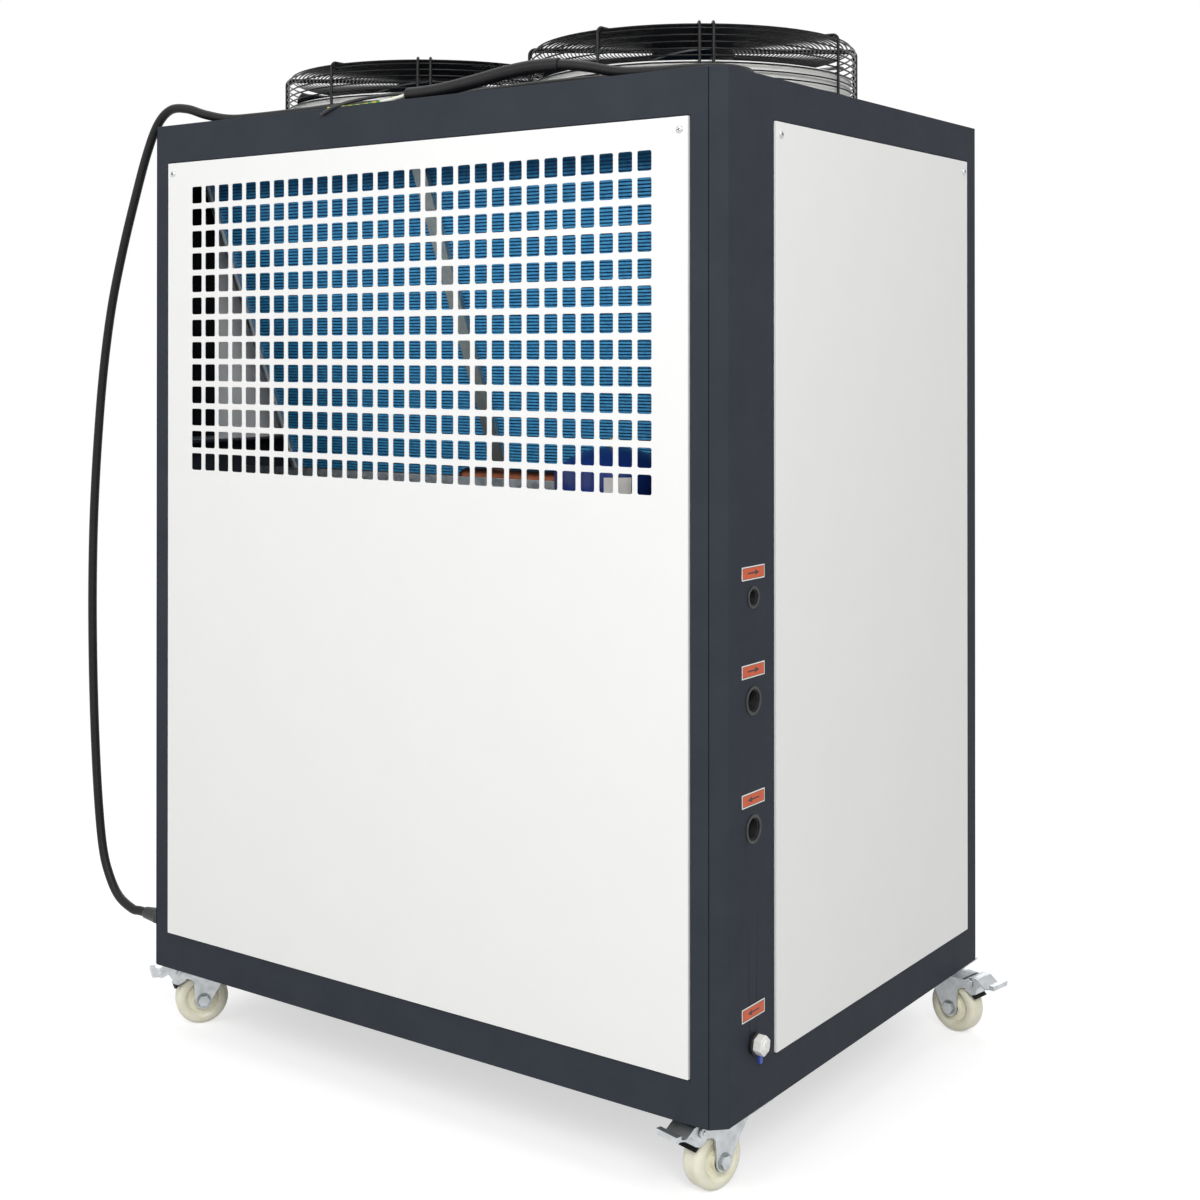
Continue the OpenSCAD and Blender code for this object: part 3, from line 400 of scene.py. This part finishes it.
# The gathered shape as a piece that rides on a body
def makePiece(name, shape, body, finishes, smoothAngle=35, soften=0.0):
    mesh = bpy.data.meshes.new(name)
    mesh.from_pydata(shape["points"], [], shape["faces"])
    for finish in finishes:
        mesh.materials.append(finish)
    for face, mark in zip(mesh.polygons, shape["marks"]):
        face.material_index = mark
        face.use_smooth = True
    mesh.set_sharp_from_angle(angle=math.radians(smoothAngle))
    mesh.update()
    piece = bpy.data.objects.new(name, mesh)
    bpy.context.collection.objects.link(piece)
    if soften:
        bevel = piece.modifiers.new("soften", "BEVEL")
        bevel.width = soften
        bevel.segments = 2
        bevel.limit_method = "ANGLE"
        bevel.angle_limit = math.radians(40)
    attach(piece, body)
    return piece


# Matrix that stands the local Z axis along a direction at a spot
def standAt(spot, direction, turn=0.0):
    stand = Vector(direction).normalized().to_track_quat("Z", "Y").to_matrix().to_4x4()
    return Matrix.Translation(spot) @ stand @ Matrix.Rotation(turn, 4, "Z")


# Camera: where the photograph was taken from, with the frame dropped below the level view
cameraSetup = {
    "place": (1.6435, -2.214, 1.0515),
    "lens": 52.785,
    "sensor": 36.0,
    "tilt": 0.0041,
    "turn": math.radians(35.495),
    "shiftY": -0.2113,
}
cameraData = bpy.data.cameras.new("camera")
cameraData.lens = cameraSetup["lens"]
cameraData.sensor_width = cameraSetup["sensor"]
cameraData.shift_y = cameraSetup["shiftY"]
camera = bpy.data.objects.new("camera", cameraData)
camera.location = cameraSetup["place"]
camera.rotation_euler = (math.pi / 2 + cameraSetup["tilt"], 0, cameraSetup["turn"])
bpy.context.collection.objects.link(camera)
bpy.context.scene.camera = camera
print("camera set")

# Power cable: its route in millimetres from the gland over the roof to its bare end
cable = {
    "diameter": 14 * mm,
    "steps": 8,
    "sides": 16,
    "route": [
        (-568, -354, 164), (-584, -354, 164), (-602, -354, 164), (-636, -353, 178), (-661, -352, 208),
        (-677, -352, 250), (-690, -351, 330), (-700, -350, 440), (-705, -350, 560), (-706, -350, 680),
        (-702, -350, 800), (-692, -350, 920), (-678, -350, 1030), (-658, -350, 1130), (-632, -349, 1220),
        (-604, -348, 1300), (-578, -346, 1370), (-554, -344, 1416), (-526, -342, 1437),
        (-490, -340, 1436), (-450, -337, 1424), (-400, -335, 1414), (-340, -334, 1412),
        (-240, -334, 1412), (-140, -331, 1412), (-46, -325, 1412), (46, -325, 1412), (137, -330, 1412),
        (237, -332, 1412), (301, -325, 1412), (356, -304, 1412), (401, -275, 1412), (438, -248, 1412),
        (468, -242, 1412), (486, -262, 1412), (486, -296, 1412), (470, -322, 1412), (438, -336, 1412),
        (392, -346, 1412), (346, -354, 1415), (301, -361, 1425), (260, -365, 1431),
    ],
    "inSleeve": [(219, -366, 1432), (173, -366, 1429), (119, -366, 1422), (64, -366, 1416), (8, -366, 1414)],
}
sleeve = {
    "diameter": 19 * mm,
    "steps": 8,
    "sides": 20,
    "rim": 1.5 * mm,
    "route": [
        (260, -365, 1431), (219, -366, 1432), (173, -366, 1429), (119, -366, 1422),
        (64, -366, 1416), (27, -366, 1414), (-5, -366, 1414),
    ],
}
cores = {
    "diameter": 5 * mm,
    "steps": 8,
    "sides": 12,
    "routes": [
        [(8, -371, 1413), (-5, -371, 1413), (-13, -372, 1411), (-30, -374, 1408), (-48, -374, 1407)],
        [
            (8, -366, 1413), (-5, -366, 1413), (-13, -366, 1413), (-40, -369, 1409), (-77, -366, 1407),
            (-118, -362, 1407), (-160, -365, 1407),
        ],
        [
            (8, -361, 1415), (-5, -361, 1416), (-13, -361, 1417), (-44, -366, 1417), (-77, -374, 1414),
            (-108, -386, 1408), (-128, -391, 1402), (-146, -393, 1394),
        ],
    ],
}


# Smooth curve through a route's points, in metres
def smoothRoute(route, steps):
    spots = [Vector(point) * mm for point in route]
    last = len(spots) - 1
    path = []
    for i in range(last):
        a, b, c, d = spots[max(i - 1, 0)], spots[i], spots[i + 1], spots[min(i + 2, last)]
        for k in range(steps):
            t = k / steps
            path.append(0.5 * (
                2 * b + (c - a) * t + (2 * a - 5 * b + 4 * c - d) * t * t + (3 * b - a - 3 * c + d) * t ** 3
            ))
    return path + [spots[last]]


cablePath = smoothRoute(cable["route"] + cable["inSleeve"], cable["steps"])
cableShape = startShape()
addTube(cableShape, cablePath, cable["diameter"] / 2, cable["sides"])
cablePiece = makePiece("powerCable", cableShape, "cabinet", [sheathRubber], 60)
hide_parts("power_cable")

sleeveShape = startShape()
addTube(sleeveShape, smoothRoute(sleeve["route"], sleeve["steps"]), sleeve["diameter"] / 2, sleeve["sides"])
sleevePiece = makePiece("cableSleeve", sleeveShape, "cabinet", [sleeveRubber], 60, sleeve["rim"])
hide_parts("cable_sleeve")

coreShape = startShape()
for mark, route in enumerate(cores["routes"]):
    path = smoothRoute(route, cores["steps"])
    addTube(coreShape, path, cores["diameter"] / 2, cores["sides"], mark=mark)
corePiece = makePiece("cableCores", coreShape, "cabinet", [pvcWhite, pvcEarth, pvcBlack], 60)
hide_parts("cable_cores")

# Finned coils: stacks of waved fins, as wide and as steep as the CAD blocks
coil = {
    "tilt": math.radians(23), "thick": 66 * mm, "halfGap": 12 * mm, "ridge": 5 * mm, "depth": 1.4 * mm,
    "strip": {"half": 11.5 * mm, "glintReach": 4 * mm, "overlap": 1 * mm, "front": -7.2 * mm, "back": -6.0 * mm},
}
coilLow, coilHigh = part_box("front_coils")
coil["length"] = coilHigh.z - coilLow.z - coil["thick"] * math.sin(coil["tilt"])
coil["length"] /= math.cos(coil["tilt"])


# Waved outline of a coil across its thickness, in the coil's own slope
def waveOutline():
    count = int(coil["length"] / coil["ridge"])
    step = coil["length"] / count
    rise = []
    for k in range(count):
        rise.append((0.0, k * step))
        rise.append((coil["depth"], (k + 0.5) * step))
    rise.append((0.0, coil["length"]))
    back = [(coil["thick"] - depth, height) for depth, height in reversed(rise)]
    return rise + back


# Foot of a coil's outer face, at the middle of the cabinet
def coilFoot(node, facing):
    low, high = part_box(node)
    reach = coil["length"] * math.sin(coil["tilt"])
    return Vector((0, low.y + reach if facing < 0 else high.y - reach, low.z))


# Spot on a coil's slope: across it, through its thickness and up its length
def slopeSpot(foot, facing, x, through, up):
    lean, deep = math.sin(coil["tilt"]), math.cos(coil["tilt"])
    return foot + Vector((x, -facing * (through * deep - up * lean), through * lean + up * deep))


# Two waved stacks beside the middle gap, with every other outer face darkened as painted shade in the trough
def finStack(name, node, facing):
    low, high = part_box(node)
    foot = coilFoot(node, facing)
    outline = waveOutline()
    count = len(outline)
    half = count // 2
    faces = [(k, (k + 1) % count, count + (k + 1) % count, count + k) for k in range(count)]
    for base in (0, count):
        for k in range(half - 1):
            faces.append((base + k, base + k + 1, base + count - 2 - k, base + count - 1 - k))
    shape = startShape()
    for span in ((low.x, -coil["halfGap"]), (coil["halfGap"], high.x)):
        points = [slopeSpot(foot, facing, x, through, up) for x in span for through, up in outline]
        addFaces(shape, points, faces)
        first = len(shape["marks"]) - len(faces)
        for k in range(1, half - 1, 2):
            shape["marks"][first + k] = 1
    piece = makePiece(name, shape, "cabinet", [finCoat, finTroughShade], 20)
    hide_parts(node)


# Strips up a coil's slope, in front of its end plates
def coilStrip(name, node, facing, spans, finish):
    foot = coilFoot(node, facing)
    front, back, length = coil["strip"]["front"], coil["strip"]["back"], coil["length"]
    section = [(front, 0.0), (front, length), (back, length), (back, 0.0)]
    faces = [(0, 1, 2, 3), (7, 6, 5, 4), (0, 4, 5, 1), (1, 5, 6, 2), (2, 6, 7, 3), (3, 7, 4, 0)]
    if facing > 0:
        faces = [tuple(reversed(face)) for face in faces]
    shape = startShape()
    for span in spans:
        points = [slopeSpot(foot, facing, x, through, up) for x in span for through, up in section]
        addFaces(shape, points, faces)
    makePiece(name, shape, "cabinet", [finish], 30)


finStack("finStackFront", "front_coils", -1)
finStack("finStackRear", "rear_coils", 1)
middle, glintReach, overlap = coil["strip"]["half"], coil["strip"]["glintReach"], coil["strip"]["overlap"]
# The pale strips at both ends of each coil are a painted highlight along the end edges
glintSpans = [(coilLow.x - glintReach, coilLow.x + overlap), (coilHigh.x - overlap, coilHigh.x + glintReach)]
for end, facing in (("Front", -1), ("Rear", 1)):
    node = end.lower() + "_coils"
    # The middle strip takes the darker zinc as painted shade
    coilStrip("coilStrip" + end, node, facing, [(-middle, middle)], dullZincAndShade)
    coilStrip("coilSeal" + end, node, facing, glintSpans, paintedGlintPale)

# Dark sheet inside the left side beside the grille: painted shade where the inside of the cabinet falls into
# shadow
paintedShadeSheet = {
    "off": 13 * mm, "thick": 1.5 * mm, "front": 14 * mm, "back": 128 * mm,
    "above": 816 * mm, "under": 36 * mm,
}
wall = cabinet["left"] + paintedShadeSheet["off"]
shadeSheetShape = startShape()
addBlock(
    shadeSheetShape,
    (wall, cabinet["front"] + paintedShadeSheet["front"], cabinet["bottom"] + paintedShadeSheet["above"]),
    (wall + paintedShadeSheet["thick"], cabinet["front"] + paintedShadeSheet["back"], cabinet["roof"] - paintedShadeSheet["under"]),
)
makePiece("sideShadeSheet", shadeSheetShape, "cabinet", [shadeAndSeamBlack], 30)
print("coils made")

# Fan guards: round black wire, legs bent over into spokes, with rings welded on their inner side
guard = {
    "leg": 2.2 * mm, "ring": 1.2 * mm, "shoulder": 9 * mm, "spokeIn": 24 * mm, "pairHalf": 9.5 * mm,
    "pairTurn": math.radians(-53), "topPitch": 5.8 * mm, "sidePitch": 9.2 * mm, "innermost": 62 * mm,
    "weld": 0.9, "bendSteps": 6, "legSides": 8, "ringSides": 6, "loopSteps": 72,
}


def guardWires(name, side):
    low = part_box("fan_cage_" + side)[0]
    topLow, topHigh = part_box("fan_guard_" + side)
    centre = Vector(((topLow.x + topHigh.x) / 2, (topLow.y + topHigh.y) / 2, low.z))
    outer = (topHigh.x - topLow.x) / 2 - guard["leg"]
    height = topHigh.z - low.z - 2 * guard["leg"]
    shape = startShape()
    profile = [(guard["spokeIn"], height)]
    for k in range(guard["bendSteps"] + 1):
        bend = k / guard["bendSteps"] * math.pi / 2
        inward, down = guard["shoulder"] * (1 - math.sin(bend)), guard["shoulder"] * (1 - math.cos(bend))
        profile.append((outer - inward, height - down))
    profile.append((outer, 0.0))
    for quarter in range(4):
        square, half = quarter * math.pi / 2, guard["pairHalf"]
        for offset, turn in ((half, guard["pairTurn"]), (-half, guard["pairTurn"]), (0.0, 0.0)):
            spin = Matrix.Rotation(square + turn, 4, "Z")
            path = [centre + spin @ Vector((r, offset, z)) for r, z in profile]
            addTube(shape, path, guard["leg"], guard["legSides"])
    sunk = (guard["leg"] + guard["ring"]) * guard["weld"]
    rings = []
    radius = outer - guard["shoulder"]
    while radius > guard["innermost"]:
        rings.append((radius, height - sunk))
        radius -= guard["topPitch"]
    level = height - guard["shoulder"]
    while level > guard["sidePitch"] / 2:
        rings.append((outer - sunk, level))
        level -= guard["sidePitch"]
    for r, z in rings:
        loop = [centre + Vector((x, y, z)) for x, y in polygonPoints(r, guard["loopSteps"])]
        addTube(shape, loop, guard["ring"], guard["ringSides"], closed=True)
    piece = makePiece(name, shape, "cabinet", [wireCoat], 60)
    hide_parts("fan_guard_" + side, "fan_cage_" + side)


for side in ("left", "right"):
    guardWires("fanGuardWires" + side.capitalize(), side)
print("fan guards made")

# Dark seams where the front and rear sheets meet the folded corners of the sides
cornerSeam = {"chamfer": 18 * mm, "half": 0.5 * mm, "proud": 0.12 * mm, "sunk": 0.5 * mm, "short": 2 * mm}
seamFoot, seamTop = cabinet["bottom"] + cornerSeam["short"], cabinet["roof"] - cornerSeam["short"]
seamShape = startShape()
for face, out in ((cabinet["front"], -1), (cabinet["rear"], 1)):
    near, far = sorted((face + out * cornerSeam["proud"], face - out * cornerSeam["sunk"]))
    for x in (cabinet["left"] + cornerSeam["chamfer"], cabinet["right"] - cornerSeam["chamfer"]):
        addBlock(
            seamShape, (x - cornerSeam["half"], near, seamFoot), (x + cornerSeam["half"], far, seamTop)
        )
makePiece("cornerSeams", seamShape, "cabinet", [shadeAndSeamBlack], 30)

# Screws that hold the panels, at the two top corners of each; the profile is in radii and heights
panelScrew = {
    "radius": 5 * mm, "dome": 2.6 * mm, "inset": 12 * mm, "drop": 16 * mm, "turn": 0.4,
    "profile": [(0, 0), (1, 0), (1, 0.35), (0.92, 0.68), (0.7, 0.92), (0.45, 1), (0, 1)],
    "slotWidth": 1.1 * mm, "slotReach": 0.52, "slotSunk": 0.1 * mm, "slotProud": 0.05 * mm,
    "faces": {
        "front_panel": (0, -1, 0), "rear_panel": (0, 1, 0),
        "left_panel": (-1, 0, 0), "right_panel": (1, 0, 0),
    },
}


def screwHead(shape, spot, direction):
    place = standAt(spot, direction, panelScrew["turn"])
    r, h = panelScrew["radius"], panelScrew["dome"]
    addLathe(shape, [(across * r, up * h) for across, up in panelScrew["profile"]], place, 24)
    half, wide = panelScrew["slotReach"] * r, panelScrew["slotWidth"] / 2
    cross = [
        (half, wide), (wide, wide), (wide, half), (-wide, half), (-wide, wide), (-half, wide),
        (-half, -wide), (-wide, -wide), (-wide, -half), (wide, -half), (wide, -wide), (half, -wide),
    ]
    # The cross in the head is a flat black patch: painted shade in the screw's recess
    addPrism(shape, cross, h - panelScrew["slotSunk"], h + panelScrew["slotProud"], place, 1)


screwShape = startShape()
for node, out in panelScrew["faces"].items():
    low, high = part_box(node)
    z = high.z - panelScrew["drop"]
    for corner, inset in ((low, panelScrew["inset"]), (high, -panelScrew["inset"])):
        if out[1]:
            spot = Vector((corner.x + inset, low.y if out[1] < 0 else high.y, z))
        else:
            spot = Vector((low.x if out[0] < 0 else high.x, corner.y + inset, z))
        screwHead(screwShape, spot, out)
makePiece("panelScrews", screwShape, "cabinet", [boltZinc, blackRubberAndSlotShade], 40)
print("panel screws made")

# Labels over the ports: white edge, thin black line, orange field and a plain arrow, drawn in millimetres
portLabel = {
    "width": 55 * mm, "height": 17 * mm, "white": 1.4 * mm, "line": 0.6 * mm, "thick": 0.5 * mm,
    "y": -312 * mm, "levels": [674 * mm, 552 * mm, 392 * mm, 127 * mm], "inward": [True, True, False, False],
    "layer": 0.06 * mm, "inkLow": 0.1 * mm, "inkHigh": 0.2 * mm,
    "arrow": [(-14, -1), (4, -1), (4, -3.6), (14, 0), (4, 3.6), (4, 1), (-14, 1)],
}
# Lays a flat outline on the right side: its X runs to the rear, its Y up
onRightSide = Matrix(((0, 0, 1, 0), (1, 0, 0, 0), (0, 1, 0, 0), (0, 0, 0, 1)))
labelShape = startShape()
for level, inward in zip(portLabel["levels"], portLabel["inward"]):
    centre = Vector((cabinet["right"], portLabel["y"], cabinet["bottom"] + level))
    place = Matrix.Translation(centre) @ onRightSide
    w, h, t = portLabel["width"] / 2, portLabel["height"] / 2, portLabel["thick"]
    edge = 0.0
    for layer, grow in enumerate((portLabel["white"], portLabel["line"], 0.0)):
        box = [(-w + edge, -h + edge), (w - edge, -h + edge), (w - edge, h - edge), (-w + edge, h - edge)]
        addPrism(labelShape, box, 0.0 if layer == 0 else t, t + layer * portLabel["layer"], place, layer)
        edge += grow
    sign = 1 if inward else -1
    outline = [(sign * x * mm, y * mm) for x, y in portLabel["arrow"]]
    outline = outline if inward else outline[::-1]
    addPrism(labelShape, outline, t + portLabel["inkLow"], t + portLabel["inkHigh"], place, 1)
makePiece("portLabels", labelShape, "cabinet", [labelWhite, labelBlack, labelOrange], 30)
print("port labels made")


# Where a fitting's axis comes out of the right side
def mouthOf(node):
    low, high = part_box(node)
    return Vector((cabinet["right"], (low.y + high.y) / 2, (low.z + high.z) / 2))


# A node's name in the style of the pieces
def titleName(node):
    return node.title().replace("_", "")


# Water sockets: threaded sleeves that end almost flush with the frame; outer radius and bore
waterSocket = {
    "tap_inlet": (13 * mm, 10.4 * mm),
    "water_inlet": (17 * mm, 14.2 * mm),
    "water_outlet": (17 * mm, 14.2 * mm),
}
socketBody = {"end": -24 * mm, "floor": -20 * mm, "seat": 0.1 * mm, "lip": 1.4 * mm, "face": 1.8 * mm}
socketThread = {"count": 7, "pitch": 2.3 * mm, "wire": 0.8 * mm, "start": 1.5 * mm, "sunk": 0.3 * mm}
for node, (rim, bore) in waterSocket.items():
    mouth = mouthOf(node)
    socketShape = startShape()
    addLathe(socketShape, [
        (0, socketBody["end"]), (rim - 0.2 * mm, socketBody["end"]), (rim - 0.2 * mm, socketBody["seat"]),
        (rim + socketBody["lip"], socketBody["seat"]), (rim + socketBody["lip"], 1.0 * mm),
        (rim + 0.6 * mm, socketBody["face"]), (bore + 0.9 * mm, socketBody["face"]), (bore, 0.9 * mm),
        (bore, socketBody["floor"]), (0, socketBody["floor"]),
    ], standAt(mouth, (1, 0, 0)), 48)
    for k in range(socketThread["count"]):
        spot = mouth - Vector((socketThread["start"] + k * socketThread["pitch"], 0, 0))
        loop = [spot + Vector((0, y, z)) for y, z in polygonPoints(bore - socketThread["sunk"], 48)]
        addTube(socketShape, loop, socketThread["wire"], 8, closed=True)
    piece = makePiece(titleName(node) + "Socket", socketShape, "cabinet", [fittingBlack], 40)
    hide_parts(node)

# Drain: black flange, white hexagon cap with a round boss and a blue pull tab under it
drain = {
    "pipe": 9 * mm, "pipeEnd": -20 * mm, "seat": 0.1 * mm, "flange": 13.5 * mm, "flangeThick": 6 * mm,
    "cap": 13 * mm, "capTurn": 0.3, "capEnd": 18 * mm,
    "boss": 8 * mm, "bossFoot": 17 * mm, "bossEnd": 20 * mm,
}
drainTab = {"out": 8 * mm, "tuck": 2 * mm, "half": 3.5 * mm, "drop": 9 * mm, "thick": 4 * mm, "arcSteps": 8}
mouth = mouthOf("drain_cap")
place = standAt(mouth, (1, 0, 0))
flangeShape = startShape()
addLathe(flangeShape, [
    (0, drain["pipeEnd"]), (drain["pipe"], drain["pipeEnd"]), (drain["pipe"], drain["seat"]),
    (drain["flange"], drain["seat"]), (drain["flange"], drain["flangeThick"]), (0, drain["flangeThick"]),
], place, 40)
piece = makePiece("drainFlange", flangeShape, "cabinet", [fittingBlack], 40, 0.6 * mm)
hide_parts("drain_nipple")
capShape = startShape()
hexagon = polygonPoints(drain["cap"], 6, drain["capTurn"])
addPrism(capShape, hexagon, drain["flangeThick"], drain["capEnd"], place)
addLathe(capShape, [
    (0, drain["bossFoot"]), (drain["boss"], drain["bossFoot"]),
    (drain["boss"], drain["bossEnd"]), (0, drain["bossEnd"]),
], place, 32)
piece = makePiece("drainCap", capShape, "cabinet", [capWhite], 40, 1.2 * mm)
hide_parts("drain_cap")
tabTop = mouth + Vector((drainTab["out"], 0, drainTab["tuck"] - drain["cap"]))
tabOutline = [(-drainTab["half"], 0), (drainTab["half"], 0)]
for k in range(drainTab["arcSteps"] + 1):
    turn = -math.pi * k / drainTab["arcSteps"]
    tabOutline.append((
        drainTab["half"] * math.cos(turn), -drainTab["drop"] + drainTab["half"] * math.sin(turn)
    ))
tabShape = startShape()
addPrism(tabShape, tabOutline[::-1], 0.0, drainTab["thick"], Matrix.Translation(tabTop) @ onRightSide)
makePiece("drainTab", tabShape, "cabinet", [tabBlue], 40, 0.6 * mm)
print("ports made")

# Brake shoes: black rubber under each pedal, along the tread; degrees round the wheel to gap in millimetres
brakeShoe = {
    "wheel": 40 * mm, "thick": 3.4 * mm, "half": 14.5 * mm,
    "edge": {64: 1.6, 57: 1.3, 50: 1.3, 44: 1.7, 38: 3.0, 32: 4.3, 26: 5.6},
}
casterCorners = ("front_left", "front_right", "rear_left", "rear_right")
for corner in casterCorners:
    hub = joints[corner + "_roll"]
    across = Vector(hub["axis"])
    ahead = Vector((across.y, -across.x, 0))
    place = Matrix.Translation(hub["pos_m"]) @ Matrix((ahead, (0, 0, 1), -across)).transposed().to_4x4()
    inner, outer = [], []
    for angle, gap in brakeShoe["edge"].items():
        way = Vector((math.cos(math.radians(angle)), math.sin(math.radians(angle))))
        inner.append(way * (brakeShoe["wheel"] + gap * mm))
        outer.append(way * (brakeShoe["wheel"] + gap * mm + brakeShoe["thick"]))
    shoeShape = startShape()
    addPrism(shoeShape, inner[::-1] + outer, -brakeShoe["half"], brakeShoe["half"], place)
    makePiece("brakeShoe" + titleName(corner), shoeShape, corner + "_pedal", [blackRubberAndSlotShade], 40)
print("brake shoes made")

# Washers on the axles, as radius, low and high: a dull one under each bolt head, a black one inside the fork
axleWasher = {"head": (11 * mm, 22.6 * mm, 24.2 * mm), "gap": (13.5 * mm, 19.2 * mm, 19.9 * mm)}
for corner in casterCorners:
    hub = joints[corner + "_roll"]
    washerShape = startShape()
    for way in (1, -1):
        place = standAt(Vector(hub["pos_m"]), Vector(hub["axis"]) * way)
        for mark, (radius, low, high) in enumerate(axleWasher.values()):
            addLathe(washerShape, [(0, low), (radius, low), (radius, high), (0, high)], place, 36, mark)
    makePiece(
        "axleWashers" + titleName(corner), washerShape, corner + "_fork", [dullZincAndShade, blackRubberAndSlotShade], 40
    )
print("axle washers made")

# Receiver's pale label, bent round it, and the brass valve on its dome
tankTop = {
    "label": 0.45, "facing": -0.9, "labelLow": 110 * mm, "labelHigh": 36 * mm, "lift": 0.4 * mm, "steps": 12,
    "valve": 6 * mm, "neck": 0.7,
}
low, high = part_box("receiver_tank")
tankSpot = Vector(((low.x + high.x) / 2, (low.y + high.y) / 2, high.z))
labelRadius = (high.x - low.x) / 2 + tankTop["lift"]
steps = tankTop["steps"]
labelPatch = startShape()
patchPoints = []
for drop in (tankTop["labelLow"], tankTop["labelHigh"]):
    for k in range(steps + 1):
        turn = tankTop["facing"] + tankTop["label"] * (k / steps - 0.5)
        x, y = labelRadius * math.cos(turn), labelRadius * math.sin(turn)
        patchPoints.append(tankSpot + Vector((x, y, -drop)))
addFaces(labelPatch, patchPoints, [(k, k + 1, k + steps + 2, k + steps + 1) for k in range(steps)])
makePiece("tankLabel", labelPatch, "cabinet", [labelWhite], 60)
valve, neck = tankTop["valve"], tankTop["neck"] * tankTop["valve"]
valveShape = startShape()
addLathe(valveShape, [
    (0, -4 * mm), (valve, -4 * mm), (valve, 3 * mm), (neck, 4 * mm), (neck, 7 * mm),
    (valve, 8 * mm), (valve, 12 * mm), (0, 12 * mm),
], Matrix.Translation(tankSpot), 6)
makePiece("tankValve", valveShape, "cabinet", [brass], 30, 0.6 * mm)
print("small fittings made")

# Studio: pale floor, white surround, soft light from the camera's side
studio = {
    "floor": 6.0, "floorPaint": "#c6c6c6", "floorLift": 0.6,
    "fadeStart": 1.3, "fadeEnd": 3.2, "ambient": 0.42,
}


# One where the ray comes from the camera, or mirrors or passes the background
def seenBackground(tree):
    rays = addNode(tree, "ShaderNodeLightPath").outputs
    seen = rays["Is Camera Ray"]
    for name in ("Is Glossy Ray", "Is Transmission Ray"):
        seen = addNode(tree, "ShaderNodeMath", {"operation": "MAXIMUM"}, {0: seen, 1: rays[name]}).outputs[0]
    return seen


span = studio["floor"]
floorMesh = bpy.data.meshes.new("studioFloor")
floorMesh.from_pydata(
    [(-span, -span, 0), (span, -span, 0), (span, span, 0), (-span, span, 0)], [], [(0, 1, 2, 3)]
)
floor = bpy.data.objects.new("studioFloor", floorMesh)
bpy.context.collection.objects.link(floor)
floorPaint = bpy.data.materials.new("paleFloor")
floorPaint.use_nodes = True
tree = floorPaint.node_tree
tree.nodes.clear()
place = addNode(tree, "ShaderNodeTexCoord").outputs["Object"]
distance = addNode(tree, "ShaderNodeVectorMath", {"operation": "LENGTH"}, {0: place}).outputs["Value"]
fade = addNode(
    tree, "ShaderNodeMapRange", {"interpolation_type": "SMOOTHSTEP"},
    {"Value": distance, "From Min": studio["fadeStart"], "From Max": studio["fadeEnd"]}
).outputs["Result"]
lift = addNode(
    tree, "ShaderNodeMath", {"operation": "MULTIPLY"}, {0: seenBackground(tree), 1: studio["floorLift"]}
).outputs[0]
matt = addNode(tree, "ShaderNodeBsdfDiffuse", links={"Color": toLinear(studio["floorPaint"])})
glow = addNode(tree, "ShaderNodeEmission", links={"Color": (1, 1, 1, 1), "Strength": lift})
paint = addNode(tree, "ShaderNodeAddShader", links={0: matt.outputs[0], 1: glow.outputs[0]})
clear = addNode(tree, "ShaderNodeBsdfTransparent")
shade = addNode(tree, "ShaderNodeMixShader", links={0: fade, 1: paint.outputs[0], 2: clear.outputs[0]})
addNode(tree, "ShaderNodeOutputMaterial", links={"Surface": shade.outputs[0]})
floorMesh.materials.append(floorPaint)

world = bpy.data.worlds.new("studioWorld")
bpy.context.scene.world = world
world.use_nodes = True
tree = world.node_tree
tree.nodes.clear()
dim = addNode(tree, "ShaderNodeBackground", links={"Color": (1, 1, 1, 1), "Strength": studio["ambient"]})
white = addNode(tree, "ShaderNodeBackground", links={"Color": (1, 1, 1, 1), "Strength": 1.0})
mix = addNode(
    tree, "ShaderNodeMixShader", links={0: seenBackground(tree), 1: dim.outputs[0], 2: white.outputs[0]}
)
addNode(tree, "ShaderNodeOutputWorld", links={"Surface": mix.outputs[0]})

softboxes = [
    {"name": "keySoftbox", "place": (2.5, -2.7, 2.6), "aim": (0.3, -0.2, 1.0), "size": 1.7, "watts": 86},
    {"name": "frontSoftbox", "place": (-1.2, -3.4, 2.4), "aim": (0, 0, 1.1), "size": 2.0, "watts": 31},
    {"name": "rearSoftbox", "place": (-1.6, 3.2, 2.4), "aim": (0, 0, 0.8), "size": 2.4, "watts": 34},
    {"name": "topSoftbox", "place": (0, 0, 4.6), "aim": (0, 0, 0), "size": 4.0, "watts": 60},
]
for box in softboxes:
    lamp = bpy.data.lights.new(box["name"], "AREA")
    lamp.size = box["size"]
    lamp.energy = box["watts"]
    holder = bpy.data.objects.new(box["name"], lamp)
    holder.location = box["place"]
    holder.rotation_euler = (Vector(box["aim"]) - Vector(box["place"])).to_track_quat("-Z", "Y").to_euler()
    bpy.context.collection.objects.link(holder)
bpy.context.scene.view_settings.view_transform = "Standard"
print("studio lit")
